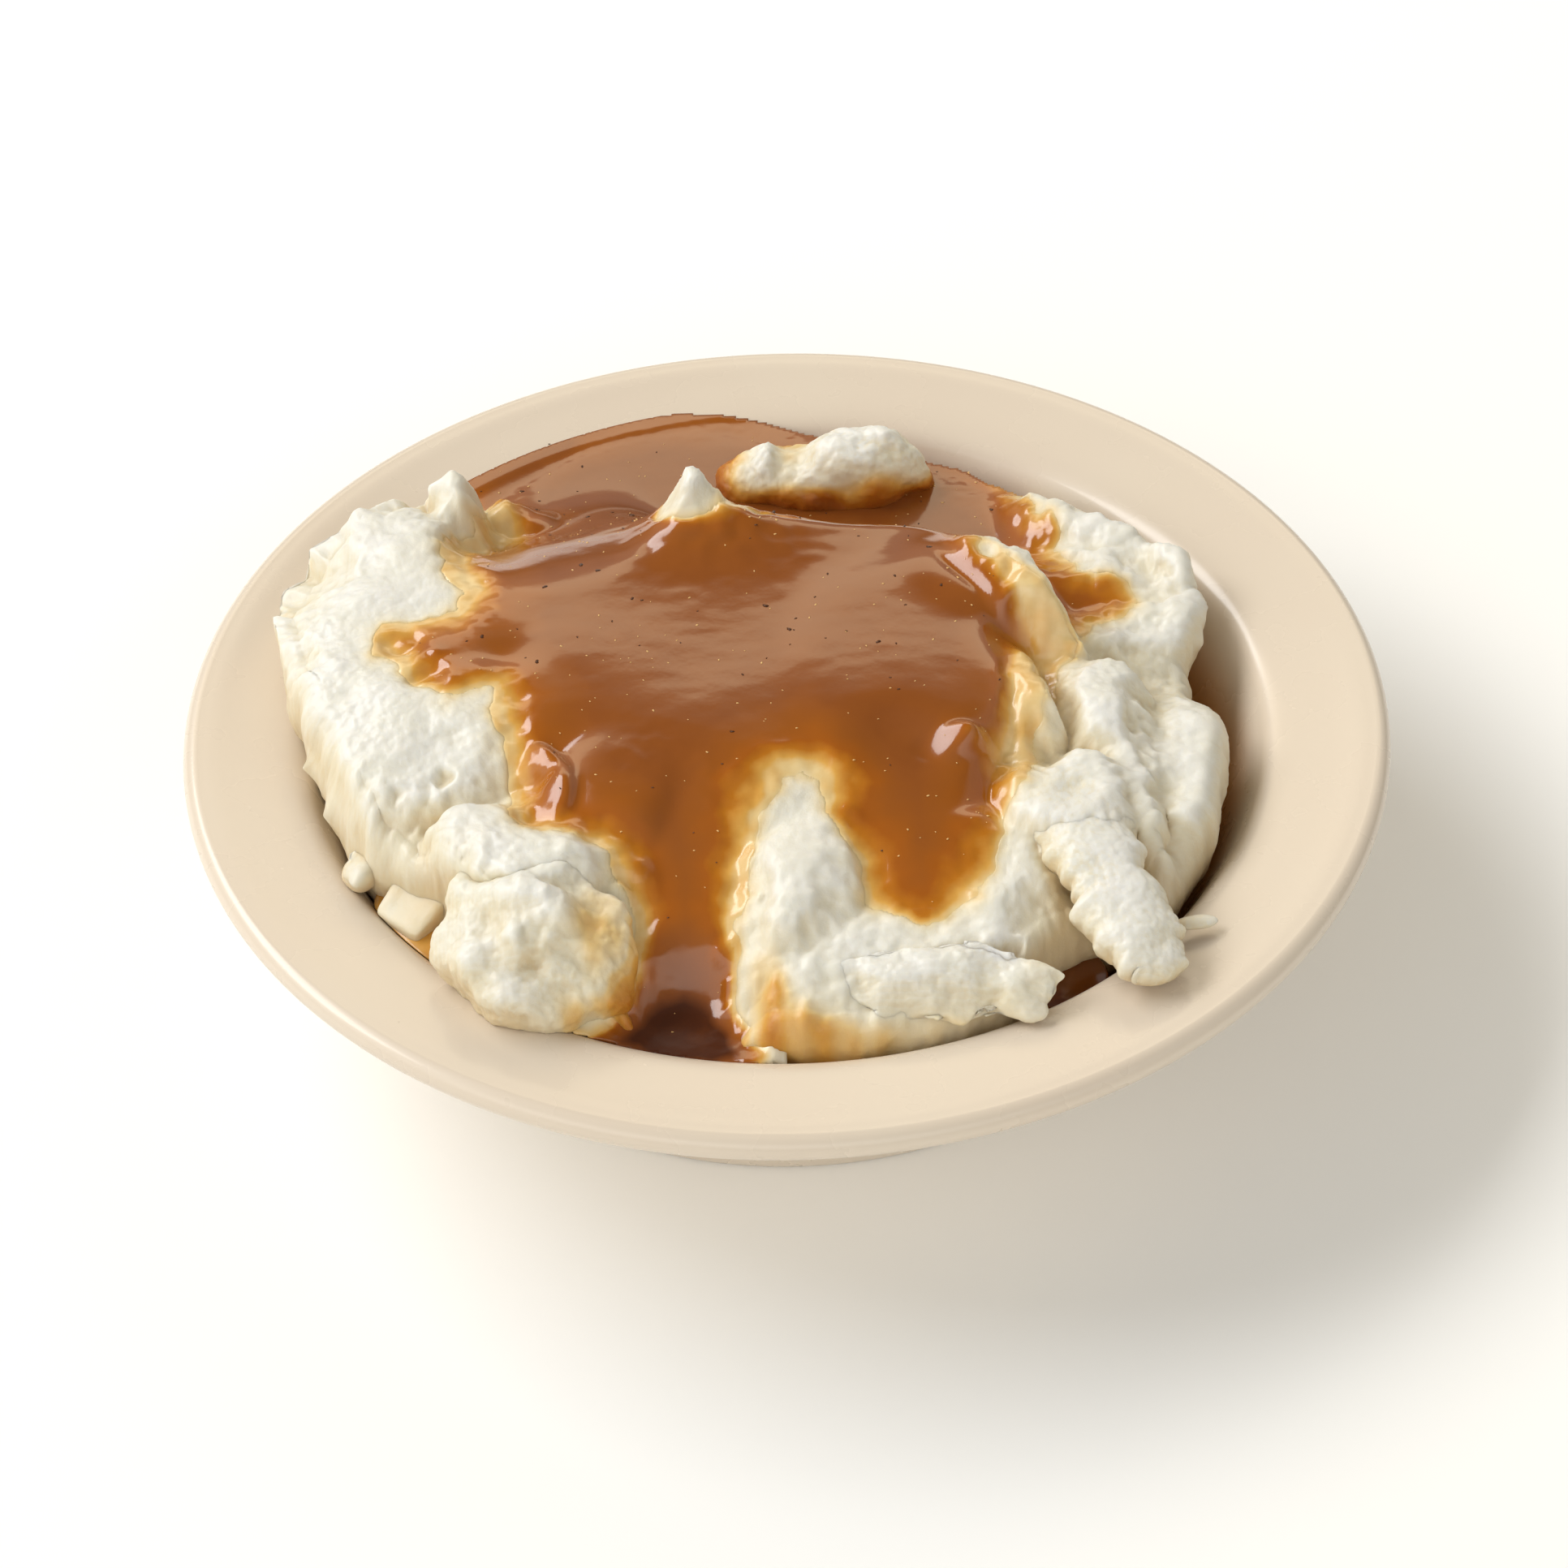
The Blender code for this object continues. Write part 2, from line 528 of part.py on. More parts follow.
def strand(name, grow, finish):
    """A flattened tube along the roll's path, with knobbly sides and rounded ends."""
    knots = np.array(STRAND, float)
    knots = np.vstack([2 * knots[0] - knots[1], knots, 2 * knots[-1] - knots[-2]])
    share = np.linspace(0, len(STRAND) - 1, STRAND_RINGS)
    first = np.minimum(share.astype(int), len(STRAND) - 2)
    nearby = (knots[first + step] for step in range(4))
    route = spline(*nearby, (share - first)[:, None])
    heading = np.gradient(route[:, :2], axis=0)
    heading /= np.linalg.norm(heading, axis=1)[:, None]
    side = np.stack([-heading[:, 1], heading[:, 0], np.zeros(STRAND_RINGS)], axis=1)
    along = np.linspace(-1, 1, STRAND_RINGS)
    rounding = np.sqrt(np.clip(1 - np.abs(along) ** 7, 0.06, 1))
    around = np.linspace(0, 2 * np.pi, STRAND_SIDES, endpoint=False)[None, :]
    # Two waves of different lengths that wander round the roll, so that no two knobs are alike.
    knobs = np.sin(share[:, None] * 3.3 + 2 * around) + 0.8 * np.sin(share[:, None] * 5.9 - around)
    size = rounding[:, None] * (1 + STRAND_KNOBS * knobs)
    wide = (route[:, 3:4] * size + grow) * np.cos(around)
    thick = (route[:, 4:5] * size + grow) * np.sin(around)
    rings = route[:, None, :3] + side[:, None, :] * wide[..., None]
    rings[..., 2] += thick
    faces = [
        [ring + k, ring + (k + 1) % STRAND_SIDES, ring + (k + 1) % STRAND_SIDES + STRAND_SIDES]
        + [ring + k + STRAND_SIDES]
        for ring in range(0, (STRAND_RINGS - 1) * STRAND_SIDES, STRAND_SIDES)
        for k in range(STRAND_SIDES)
    ]
    faces.append(list(reversed(range(STRAND_SIDES))))
    faces.append(list(range((STRAND_RINGS - 1) * STRAND_SIDES, STRAND_RINGS * STRAND_SIDES)))
    return object_of(name, rings.reshape(-1, 3), faces, finish)


def puddle(name, finish):
    """A sector of gravy between two radii."""
    first, last, inner, outer, bottom, level = PUDDLES[name]
    angles = np.radians(np.linspace(first, last, PUDDLE_STEPS))
    outer_arc = [(outer * np.cos(angle), outer * np.sin(angle)) for angle in angles]
    inner_arc = [(inner * np.cos(angle), inner * np.sin(angle)) for angle in angles[::-1]]
    return prism(name, outer_arc + inner_arc, bottom, level, finish)


def build():
    clear_scene()
    turned("dish", dish_profile(), MELAMINE)
    bed = cutter(turned("bed_room", bed_profile(), MELAMINE))
    heap("mash_heap", 0.0, MASH)
    heap_room = cutter(heap("heap_room", GAP, MASH))

    rooms = []
    for name in LUMPS:
        piece = lump(name, 0.0, MASH)
        cut(piece, heap_room)
        cut(piece, bed)
        rooms.append(cutter(lump(name + "_room", GAP, MASH)))
    roll = strand("mash_strand", 0.0, MASH)
    cut(roll, heap_room)
    cut(roll, bed)
    roll_room = cutter(strand("mash_strand_room", GAP, MASH))
    cut(bpy.data.objects["mash_crumb_right"], roll_room)

    gravy = gravy_blank("gravy", GRAVY)
    limit = prism("gravy_limit", closed_curve(GRAVY_EDGE, 2), 0, DISH_RADIUS, GRAVY)
    cut(gravy, cutter(limit), "INTERSECT")
    for room in [bed] + rooms[:2]:
        cut(gravy, room)
    for name in PUDDLES:
        pool = puddle(name, GRAVY)
        for room in [heap_room, bed, roll_room] + rooms:
            cut(pool, room)


build()
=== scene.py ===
"""Looks of a mashed potato side with brown gravy in a tan melamine dish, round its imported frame."""

import json

import bpy
import numpy as np
from mathutils import Matrix, Vector

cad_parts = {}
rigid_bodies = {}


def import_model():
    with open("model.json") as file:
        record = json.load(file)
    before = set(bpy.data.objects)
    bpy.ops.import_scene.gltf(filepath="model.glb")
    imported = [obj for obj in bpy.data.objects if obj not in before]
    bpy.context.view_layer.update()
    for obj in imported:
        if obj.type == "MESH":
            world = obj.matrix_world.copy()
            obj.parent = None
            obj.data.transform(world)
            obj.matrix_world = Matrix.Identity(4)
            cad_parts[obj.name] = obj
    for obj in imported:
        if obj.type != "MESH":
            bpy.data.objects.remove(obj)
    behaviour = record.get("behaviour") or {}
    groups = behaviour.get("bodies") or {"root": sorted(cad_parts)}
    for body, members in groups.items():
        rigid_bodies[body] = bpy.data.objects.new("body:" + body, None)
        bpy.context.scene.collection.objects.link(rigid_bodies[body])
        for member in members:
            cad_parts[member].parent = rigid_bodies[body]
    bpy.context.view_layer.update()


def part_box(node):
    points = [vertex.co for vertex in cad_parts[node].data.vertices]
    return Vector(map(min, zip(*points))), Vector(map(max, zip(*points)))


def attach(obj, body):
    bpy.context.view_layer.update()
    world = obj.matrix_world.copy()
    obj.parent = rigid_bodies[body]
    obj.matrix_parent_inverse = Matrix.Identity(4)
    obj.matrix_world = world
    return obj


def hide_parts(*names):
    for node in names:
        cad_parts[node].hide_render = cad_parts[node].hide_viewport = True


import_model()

bl_info = {
    "name": "Mashed potato side",
    "version": (1, 0, 0),
    "blender": (4, 5, 0),
    "location": "3D View > Sidebar > Mash",
    "description": "Builds a dish of mashed potato and gravy, and a plain stage",
    "category": "Object",
}

MM = 0.001
ROOT = "root"
DISH_LOW, DISH_HIGH = (np.array(corner) * 1000 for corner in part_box("dish"))
DISH_RADIUS = float(round((DISH_HIGH[0] - DISH_LOW[0]) / 2, 1))
RIM_TOP = float(round(DISH_HIGH[2], 2))

# ---------------------------------------------------------------- the food's form, in millimetres

DOME_CENTRE = (-2.0, -2.0)
DOME_RADII = (50.0, 47.0)
DOME_TOP = 31.4
DOME_FALL = 8.4
# How sharply hills meet: the higher, the crisper.
MEETING = 5
BACK_POOL_LEVEL = 24.2
FRONT_POOL_LEVEL = 22.4
# The fall into the back pool: from and to which y it runs, gently at the left and steeply at the right,
# and between which x it turns from one into the other.
GENTLE_FALL = (8, 44)
STEEP_FALL = (16.4, 28)
FALL_TURNS = (-19, -6)
# Its two ends: from and to which x, the slant of that limit, and the y where it is read.
FALL_LEFT = (-31, -25, -0.35, 34)
FALL_RIGHT = (21, 29, 0.3, 30)

# Hills of the food's surface: x, y, half length, half width, turn in degrees, top, flatness.
HILLS = {
    "plateau": (-5, 6, 28.5, 31, 0, 34.5, 3.0),
    "left_mass": (-38, 4, 14.5, 23, -4, 34.6, 2.2),
    "left_back": (-39.5, 19, 8.5, 8.5, 20, 33.6, 1.8),
    "left_spur": (-33.6, 26.0, 4.6, 4.6, 0, 34.4, 1.5),
    "left_nub": (-27.2, 29.8, 3.8, 3.0, 10, 31.4, 1.5),
    "left_front": (-36, -13, 11.5, 9.5, 0, 33.4, 2.4),
    "left_bridge": (-26, -9, 7.5, 9.5, 0, 33.5, 1.9),
    "left_stream": (-16.4, -18.6, 7.2, 7.0, 0, 33.4, 2.0),
    "left_link": (-30.5, -8.5, 6.0, 8.0, 0, 34.0, 1.8),
    "left_foot": (-39.5, -21, 8.5, 7.0, -40, 29.2, 1.8),
    "crest_swell": (18.0, 9.0, 9.0, 8.0, -30, 34.9, 1.8),
    "crest": (22.4, 9.6, 9.4, 3.7, -50, 37.0, 1.7),
    "rim_side": (23.8, -7.5, 2.8, 9.0, 4, 34.2, 1.8),
    "ledge": (11.0, -3.4, 12.8, 18.6, 0, 34.6, 3.2),
    "comb_back": (31.0, -5.5, 5.4, 7.6, 14, 32.6, 2.0),
    "comb_front": (27.0, -20.5, 7.0, 7.6, 8, 32.8, 3.0),
    "comb_side": (33.8, -15.0, 4.0, 10.8, 8, 31.0, 2.2),
    "right_bank": (19.6, -27.5, 6.6, 8.4, 6, 30.6, 1.6),
    "right_lobe": (39.8, -13.5, 5.4, 11.8, 7, 29.2, 2.6),
    "right_back": (33, 17, 12.5, 14.5, 20, 27.9, 2.4),
    "curd_a": (25.8, 27.8, 6.2, 4.4, -16, 28.8, 1.5),
    "curd_b": (34.2, 24.8, 5.4, 4.8, -24, 29.0, 1.5),
    "curd_c": (40.4, 17.8, 3.4, 5.2, 12, 29.4, 1.6),
    "curd_d": (31.4, 16.4, 5.8, 4.0, 32, 28.8, 1.4),
    "curd_e": (38.4, 9.6, 5.0, 4.6, 0, 28.6, 1.6),
    "curd_f": (32.4, 7.2, 4.0, 3.6, 20, 29.4, 1.4),
    "tongue": (1.2, -28.0, 5.4, 10.0, -4, 32.4, 1.6),
    "tongue_foot": (1.5, -38, 8.5, 6.0, 4, 28.0, 1.8),
    "front_slope": (13.0, -35.0, 13.0, 7.5, 0, 28.8, 2.0),
    "front_base": (11.0, -43.0, 15.0, 4.0, 3, 25.6, 2.0),
    "front_left": (-24, -26, 10.5, 9.0, 0, 32.4, 2.2),
    "ball_back": (-24.5, -29.6, 8.6, 5.2, -6, 34.0, 1.8),
    "lobe_left": (-29.4, -25.0, 5.0, 6.4, 20, 33.6, 1.8),
    "lobe_right": (-19.8, -27.4, 6.4, 4.4, -6, 31.6, 2.0),
    "lobe_low": (-16.6, -36.0, 4.4, 7.4, 4, 27.8, 1.8),
}
# Dents pressed into them: x, y, half length, half width, turn, depth.
DENTS = (
    (11.4, -16.2, 5.0, 4.2, 10, 1.6),
    (24.8, -13.4, 1.8, 3.2, 20, 2.6),
    (27.2, -5.6, 1.6, 4.0, 14, 1.8),
    (20.6, 10.9, 1.4, 0.9, -50, 0.6),
    (30.4, 12.4, 3.0, 5.0, 24, 1.2),
    (36.4, -19.0, 1.3, 8.6, 8, 1.2),
    (-36.8, 26.6, 1.5, 3.0, 0, 0.9),
    (-30.2, 28.6, 1.2, 2.4, 0, 0.8),
    (-33.4, -17.4, 0.7, 0.8, 0, 0.8),
    (-37.6, 0.6, 1.8, 1.5, 20, 0.8),
    (-35.4, -4.4, 1.5, 1.3, 0, 0.8),
)
# Facets that the spoon smoothed: x, y, half length, half width, turn, height at the middle, rise to the
# right and to the back.
FACETS = (
    (15.8, -15.0, 3.7, 1.8, 16, 33.9, 0.43, 0.29),
    (19.3, 7.8, 4.8, 1.6, -52, 35.6, 0.44, 0.31),
    (22.5, 7.2, 2.8, 1.0, 81, 36.5, 0.5, 0.18),
    (-23.6, -16.6, 3.2, 1.7, -49, 33.4, 0.45, 0.3),
    (-22.9, -21.8, 3.8, 1.7, 66, 33.2, 0.5, 0.14),
    (13.5, -27.0, 8.0, 6.0, 0, 30.2, 0.02, 0.28),
)
# The little peak that the spoon drew up: x, y, flare, height over its hill.
PEAK = (-9.2, 20.2, 3.9, 9.2)
# Where the left stream ends in the front pool: x, y, half length, half width, turn, level, flatness.
FRONT_RUNNEL = (-10.6, -46, 8.0, 8.6, 0, 20.5, 2.0)

# The heap's side, round the well: angle from +X in degrees, widest radius, and its height.
HEAP_EDGE = (
    (0, 41.2, 23.5), (6, 41.0, 22.8), (14, 43.5, 24.3), (24, 46.2, 25.4), (35, 44.5, 25.0), (47, 42.8, 24.2),
    (62, 43.4, 22.2), (80, 44.6, 20.6), (110, 45.0, 20.4), (125, 45.2, 21.5), (134, 47.4, 29.5),
    (142, 48.2, 31.0), (150, 49.6, 31.5), (160, 52.0, 32.0), (168, 52.4, 32.0), (176, 50.6, 30.6),
    (185, 48.6, 28.2), (194, 47.0, 25.6), (212, 46.0, 23.8), (219, 43.4, 22.6), (228, 44.2, 22.4),
    (240, 45.8, 21.6), (262, 45.4, 20.8), (269, 46.3, 22.6), (297, 46.0, 22.4), (304, 43.4, 21.4),
    (312, 43.6, 21.6), (320, 45.6, 23.6), (338, 45.4, 24.0), (350, 44.6, 24.2),
)

# Where the gravy ends, seen from above, anticlockwise from the right of the back pool.
GRAVY_EDGE = (
    (28.5, 25.5), (25.2, 33.5), (20.5, 37.6), (15.0, 40.6), (7.0, 43.6), (1.3, 46.4), (-3.5, 48.4),
    (-9.7, 49.4), (-16.0, 48.6), (-22.8, 45.6), (-28.0, 42.0), (-30.4, 38.6), (-30.6, 35.0),
    (-30.6, 29.0), (-33.2, 22.0), (-35.0, 15.2), (-34.0, 11.0), (-31.9, 8.4), (-34.2, 4.6),
    (-39.8, 3.4), (-40.6, 0.2), (-37.4, -4.2), (-33.5, -7.6), (-29.2, -7.0), (-28.2, -11.8),
    (-27.0, -17.5), (-26.4, -24.0), (-22.6, -26.6), (-18.4, -27.0), (-16.6, -30.0), (-15.0, -34.0),
    (-14.8, -38.0), (-17.4, -42.0), (-21.6, -45.0), (-9.0, -47.6), (-3.6, -46.8), (-5.4, -41.0),
    (-5.2, -36.0), (-4.2, -30.5), (-3.2, -25.0), (-1.4, -21.2), (1.2, -19.0), (3.2, -21.0),
    (5.2, -25.6), (6.8, -29.8), (8.8, -33.2), (11.8, -35.2), (15.4, -34.2), (18.0, -30.4),
    (20.0, -25.4), (22.0, -20.0), (24.2, -14.0), (25.6, -7.0), (26.2, -2.4), (28.4, 0.0),
    (29.8, 5.4), (31.8, 8.6), (35.6, 11.4), (35.0, 15.0), (31.0, 17.4), (28.6, 21.0),
)


# ---------------------------------------------------------------- numbers

def ease(start, end, value):
    """0 before start, 1 after end and an S curve between."""
    share = np.clip((value - start) / (end - start), 0, 1)
    return share * share * (3 - 2 * share)


def past(x, y, limit):
    """0 to the left of a slanting limit and 1 to the right of it."""
    start, end, slant, read_at = limit
    return ease(start, end, x + slant * (y - read_at))


def bump(x, y, centre_x, centre_y, half_length, half_width, turn, flatness):
    """exp(-(d2 ** flatness)): 1 at the middle of a turned ellipse, falling to 0 outside it."""
    angle = np.radians(turn)
    along = (x - centre_x) * np.cos(angle) + (y - centre_y) * np.sin(angle)
    across = (y - centre_y) * np.cos(angle) - (x - centre_x) * np.sin(angle)
    return np.exp(-(((along / half_length) ** 2 + (across / half_width) ** 2) ** flatness))


def smooth_max(first, second, blend):
    """The greater of two heights, rounded where they meet over this difference."""
    share = np.clip(0.5 + 0.5 * (first - second) / blend, 0, 1)
    return second + (first - second) * share + blend * share * (1 - share)


def hashed(cell_x, cell_y, cell_z, salt):
    """A steady number from 0 to 1 for each whole cell, mixed from its three indices and a salt."""
    mixed = cell_x.astype(np.uint32) * np.uint32(73856093)
    mixed ^= cell_y.astype(np.uint32) * np.uint32(19349663)
    mixed ^= cell_z.astype(np.uint32) * np.uint32(83492791)
    mixed += np.uint32(salt * 7919 + 101)
    for shift, factor in ((16, 0x7FEB352D), (15, 0x846CA68B)):
        mixed ^= mixed >> np.uint32(shift)
        mixed *= np.uint32(factor)
    mixed ^= mixed >> np.uint32(16)
    return mixed / np.float64(2**32)


def noise(points, size, salt=0):
    """Gradient noise, about -1 to 1: each cell corner holds a slope, blended over the cell of this size."""
    place = points / size
    cell = np.floor(place).astype(np.int64)
    inside = place - cell
    fade = inside**3 * (inside * (inside * 6 - 15) + 10)
    total = 0.0
    for corner in range(8):
        step = np.array([corner & 1, corner >> 1 & 1, corner >> 2])
        at = [cell[..., k] + step[k] for k in range(3)]
        height = hashed(*at, salt) * 2 - 1
        turn = hashed(*at, salt + 57) * 2 * np.pi
        flat = np.sqrt(1 - height**2)
        along_x, along_y, along_z = np.moveaxis(inside - step, -1, 0)
        slope = along_x * flat * np.cos(turn) + along_y * flat * np.sin(turn) + along_z * height
        weight = np.prod(np.where(step, fade, 1 - fade), axis=-1)
        total = total + slope * weight
    return total * 1.6


def unit_of(direction):
    """The direction as an arrow of length 1."""
    return np.array(direction, float) / np.linalg.norm(direction)


def clods(points, size, salt=0):
    """Rounded domes that meet in creases: 1 at each scattered seed, less the squared distance to the
    nearest one."""
    place = points / size
    cell = np.floor(place).astype(np.int64)
    nearest = np.full(points.shape[:-1], 9.0)
    for step in np.ndindex(3, 3, 3):
        at = [cell[..., k] + step[k] - 1 for k in range(3)]
        seeds = np.stack([at[k] + hashed(*at, salt + k) for k in range(3)], axis=-1)
        nearest = np.minimum(nearest, ((place - seeds) ** 2).sum(axis=-1))
    return 1 - 1.3 * nearest


def peak_height(x, y):
    """The little peak: height * exp(-(distance / flare) ** 1.2), drawn out towards the right."""
    peak_x, peak_y, flare, height = PEAK
    from_peak = (x - peak_x) * (1 - 0.28 * np.tanh((x - peak_x) / 1.5))
    away = np.hypot(from_peak, y - peak_y) + 0.4 * noise(np.stack([x, y, 0 * x], axis=-1), 1.8, 209)
    return height * np.exp(-((np.maximum(away, 0) / flare) ** 1.2))


def wander(place, torn, salt):
    """How far a place is moved along one axis: slow swings, and torn ones of a few millimetres."""
    coarse, fine = noise(place, 3.6, salt + 2), noise(place, 2.2, salt + 4)
    tears = 0.6 * coarse + 0.6 * fine + 0.3 * noise(place, 1.1, salt + 6)
    return 1.2 * noise(place, 9.0, salt) + torn * tears


def food_height(x, y, torn=1.0):
    """The food's surface: a low dome plus the hills, (sum of (rise * bump) ** m) ** (1 / m), less the dents,
    then the facets, the fall at the back, the runnel and the peak, all but the peak read at places that
    wander a little, so that no hill keeps a plain round edge."""
    peak = peak_height(x, y)
    place = np.stack([x, y, 0 * x], axis=-1)
    x, y = x + wander(place, torn, 201), y + wander(place, torn, 202)
    across = (x - DOME_CENTRE[0]) / DOME_RADII[0]
    deep = (y - DOME_CENTRE[1]) / DOME_RADII[1]
    dome = DOME_TOP - DOME_FALL * np.hypot(across, deep) ** 2.2
    total = 0.0
    for *place, top, flatness in HILLS.values():
        total = total + (np.maximum(top - dome, 0) * bump(x, y, *place, flatness)) ** MEETING
    z = dome + total ** (1 / MEETING) - sum(deep * bump(x, y, *place, 1.3) for *place, deep in DENTS)
    for *place, level, to_right, to_back in FACETS:
        flat = level + to_right * (x - place[0]) + to_back * (y - place[1])
        z = z + (flat - z) * bump(x, y, *place, 2.2)
    steep = ease(*FALL_TURNS, x)
    starts, ends = (gentle + (sharp - gentle) * steep for gentle, sharp in zip(GENTLE_FALL, STEEP_FALL))
    fall = ease(starts, ends, y) * past(x, y, FALL_LEFT) * (1 - past(x, y, FALL_RIGHT))
    z = z - (z - (BACK_POOL_LEVEL - 0.6)) * fall
    runnel_x, runnel_y, length, width, turn, level, flatness = FRONT_RUNNEL
    z = z - (z - level) * bump(x, y, runnel_x, runnel_y, length, width, turn, flatness)
    return z + peak


def closed_curve(knots, steps):
    """A closed Catmull-Rom curve through the knots, with this many points from each knot to the next."""
    knots = np.asarray(knots, float)
    share = np.linspace(0, 1, steps, endpoint=False)[None, :, None]
    before, here, after, last = (np.roll(knots, shift, axis=0)[:, None, :] for shift in (1, 0, -1, -2))
    bend = 2 * before - 5 * here + 4 * after - last
    twist = 3 * (here - after) + last - before
    curve = here + 0.5 * share * (after - before + share * (bend + share * twist))
    return curve.reshape(-1, knots.shape[1])


def depth_inside(x, y, edge):
    """Distance of points to a closed outline, negative outside it."""
    flat_x, flat_y = np.ravel(x), np.ravel(y)
    nearest = np.full(flat_x.shape, 1e9)
    crossings = np.zeros(flat_x.shape, int)
    for start, end in zip(edge, np.roll(edge, -1, axis=0)):
        along_x, along_y = end - start
        offset_x, offset_y = flat_x - start[0], flat_y - start[1]
        share = np.clip((offset_x * along_x + offset_y * along_y) / (along_x**2 + along_y**2), 0, 1)
        nearest = np.minimum(nearest, (offset_x - share * along_x) ** 2 + (offset_y - share * along_y) ** 2)
        if along_y:
            straddles = (start[1] > flat_y) != (end[1] > flat_y)
            crossings += straddles & (offset_x < offset_y * along_x / along_y)
    distance = np.sqrt(nearest) * np.where(crossings % 2 == 1, 1, -1)
    return distance.reshape(np.shape(x))


GRAVY_OUTLINE = closed_curve(GRAVY_EDGE, 3)


# Where the gravy is only a film: x, y, half length, half width, turn, thickness taken off.
FILMS = (
    (-27.4, -10.0, 2.6, 8.0, 0, 0.15),
    (-25.4, -20.0, 2.6, 6.0, 0, 0.15),
    (-33.5, 14.0, 3.6, 9.0, 10, 0.5),
    (-29.5, 26.0, 5.0, 5.0, 0, 0.5),
    (-7.8, 18.6, 5.4, 4.4, 0, 1.7),
    (22.6, 9.6, 10.0, 3.2, -50, 1.7),
    (18.0, 8.0, 2.4, 5.0, 30, 0.35),
    (24.2, -9.0, 2.8, 10.5, 4, 0.8),
    (18.4, -14.0, 4.6, 3.0, 10, 0.4),
    (1.0, -18.6, 6.0, 2.6, 0, 0.4),
    (-4.6, -31.0, 1.8, 8.0, 0, 0.3),
    (-15.6, -33.0, 2.2, 7.0, 0, 0.3),
    (0.0, 18.4, 4.6, 0.9, 0, 1.2),
    (9.6, 18.0, 3.0, 0.8, -4, 1.2),
    (-38.6, 0.0, 3.0, 4.0, 0, 0.4),
)
# Where the mash stands bare out of it: x, y, half length, half width, turn, thickness taken off.
BARE = (
    (24.0, 10.9, 9.2, 1.5, -50, 1.5),
    (20.7, 10.8, 1.1, 0.7, -50, 0.8),
    (-9.9, 19.4, 2.9, 3.0, 0, 2.5),
)


# Where wet highlights break up over crinkled film: x, y, half length, half width, turn, height.
CRINKLES = (
    (-6.4, -19.6, 3.4, 3.4, 0, 0.10),
    (-13.0, -17.0, 4.0, 5.0, 0, 0.06),
    (15.9, -14.9, 3.6, 1.5, 18, 0.05),
    (-22.9, -19.6, 2.4, 6.0, 0, 0.05),
    (-36.4, -1.6, 4.6, 2.2, -50, 0.34),
    (5.4, -22.6, 1.4, 2.6, 30, 0.25),
    (-33.0, 13.0, 2.6, 2.2, 0, 0.16),
)


def gravy_rise(depth):
    """How far the gravy stands over the mash: its thickness, and outside its edge a slow dive into it."""
    return np.where(depth < 0, np.maximum(0.35 * depth - 0.12 * depth**2, -2.2), np.minimum(depth, 0.6))


def film_relief(x, y, z, depth):
    """Relief that mash and gravy share where the gravy is a thin film."""
    share = ease(-1.8, 0.0, depth) * ease(0.9, 0.3, depth)
    broad, fine = mash_relief(np.stack([x, y, z], axis=-1))
    return 0.6 * broad * share + fine * share


def gravy_depth(x, y):
    """Thickness of the gravy over the mash: thin films at the edges, thick in the middle, and less than 0
    outside."""
    spot = np.stack([x, y, 0 * x], axis=-1)
    # The edge against the dish, at the back, is the level pool's and so nearly plain.
    ragged = 1 - 0.9 * ease(35, 42, y)
    ragged = ragged * (1.2 * noise(spot, 4.2, 31) + 0.5 * noise(spot, 1.7, 32))
    inside = depth_inside(x, y, GRAVY_OUTLINE) + ragged
    depth = np.where(inside < 0, inside, 0.2 * np.minimum(inside, 1.0) + 0.15 * np.clip(inside - 0.5, 0, 9))
    film = sum(amount * bump(x, y, *place, 1.0) for *place, amount in FILMS)
    bare = sum(amount * bump(x, y, *place, 1.6) for *place, amount in BARE)
    depth = np.maximum(depth - film, np.minimum(depth, 0.04)) - bare
    return np.maximum(depth, -4.0)


def stain_of(depth):
    """How deep the gravy's colour is: its thickness, and outside it a tint that fades over a few
    millimetres."""
    return np.where(depth < 0, 0.8 * np.exp(np.minimum(depth, 0) / 1.8) - 0.8, depth)


# Mash tinted amber, partly where gravy has seeped in and partly painted warm shade under the shelf and in the
# gaps: x, y, half length, half width, turn, how much.
SOAK_AND_SHADE = (
    (-17.8, -37.5, 4.2, 6.5, 0, 0.8),
    (12.0, -47.0, 14.0, 3.4, 2, 0.9),
    (-2.6, -42.0, 2.6, 6.0, 0, 0.8),
    (1.2, -28.0, 5.0, 9.0, 0, 0.28),
    (24.0, -40.5, 4.0, 3.0, 0, 0.4),
    (1.5, -44.5, 4.0, 3.4, 0, 0.5),
    (-30.5, -27.0, 3.0, 3.0, 0, 0.3),
    (23.6, -18.0, 2.4, 6.0, 8, 0.4),
    (43.0, -10.0, 2.6, 13.0, 6, 0.35),
)


def mash_stain_and_shade(x, y):
    """How deep the mash is tinted: by the gravy near it, where gravy has seeped in, and by painted warm shade
    under the shelf and in the gaps.
    """
    place = np.stack([x, y, 0 * x], axis=-1)
    soak_and_shade = sum(amount * bump(x, y, *spot, 1.2) for *spot, amount in SOAK_AND_SHADE)
    soak_and_shade = np.maximum(soak_and_shade, 1.6 * ease(35, 38.5, y) * ease(22, 17, x))
    return np.maximum(stain_of(gravy_depth(x, y)), soak_and_shade * (1 + 0.25 * noise(place, 2.6, 97)) - 0.8)


def torn_share(depth):
    """How far the torn edges show: in full on bare mash and thin film, little under thick gravy."""
    return ease(0.7, 0.1, depth)


# The pools lie behind the first y and in front of the second. Left of the x, the back pool's edge is
# hidden under the mash.
POOLS_FROM = (22.0, -34.0)
HIDDEN_LEFT = -24.0
# How far the gravy's sheet reaches past its edge, sunk in the mash, and the deepest colour of a pool from its
# depth alone, before the front pool's painted shade is added.
SUNK_MARGIN = 2.8
POOL_COLOUR = 1.7


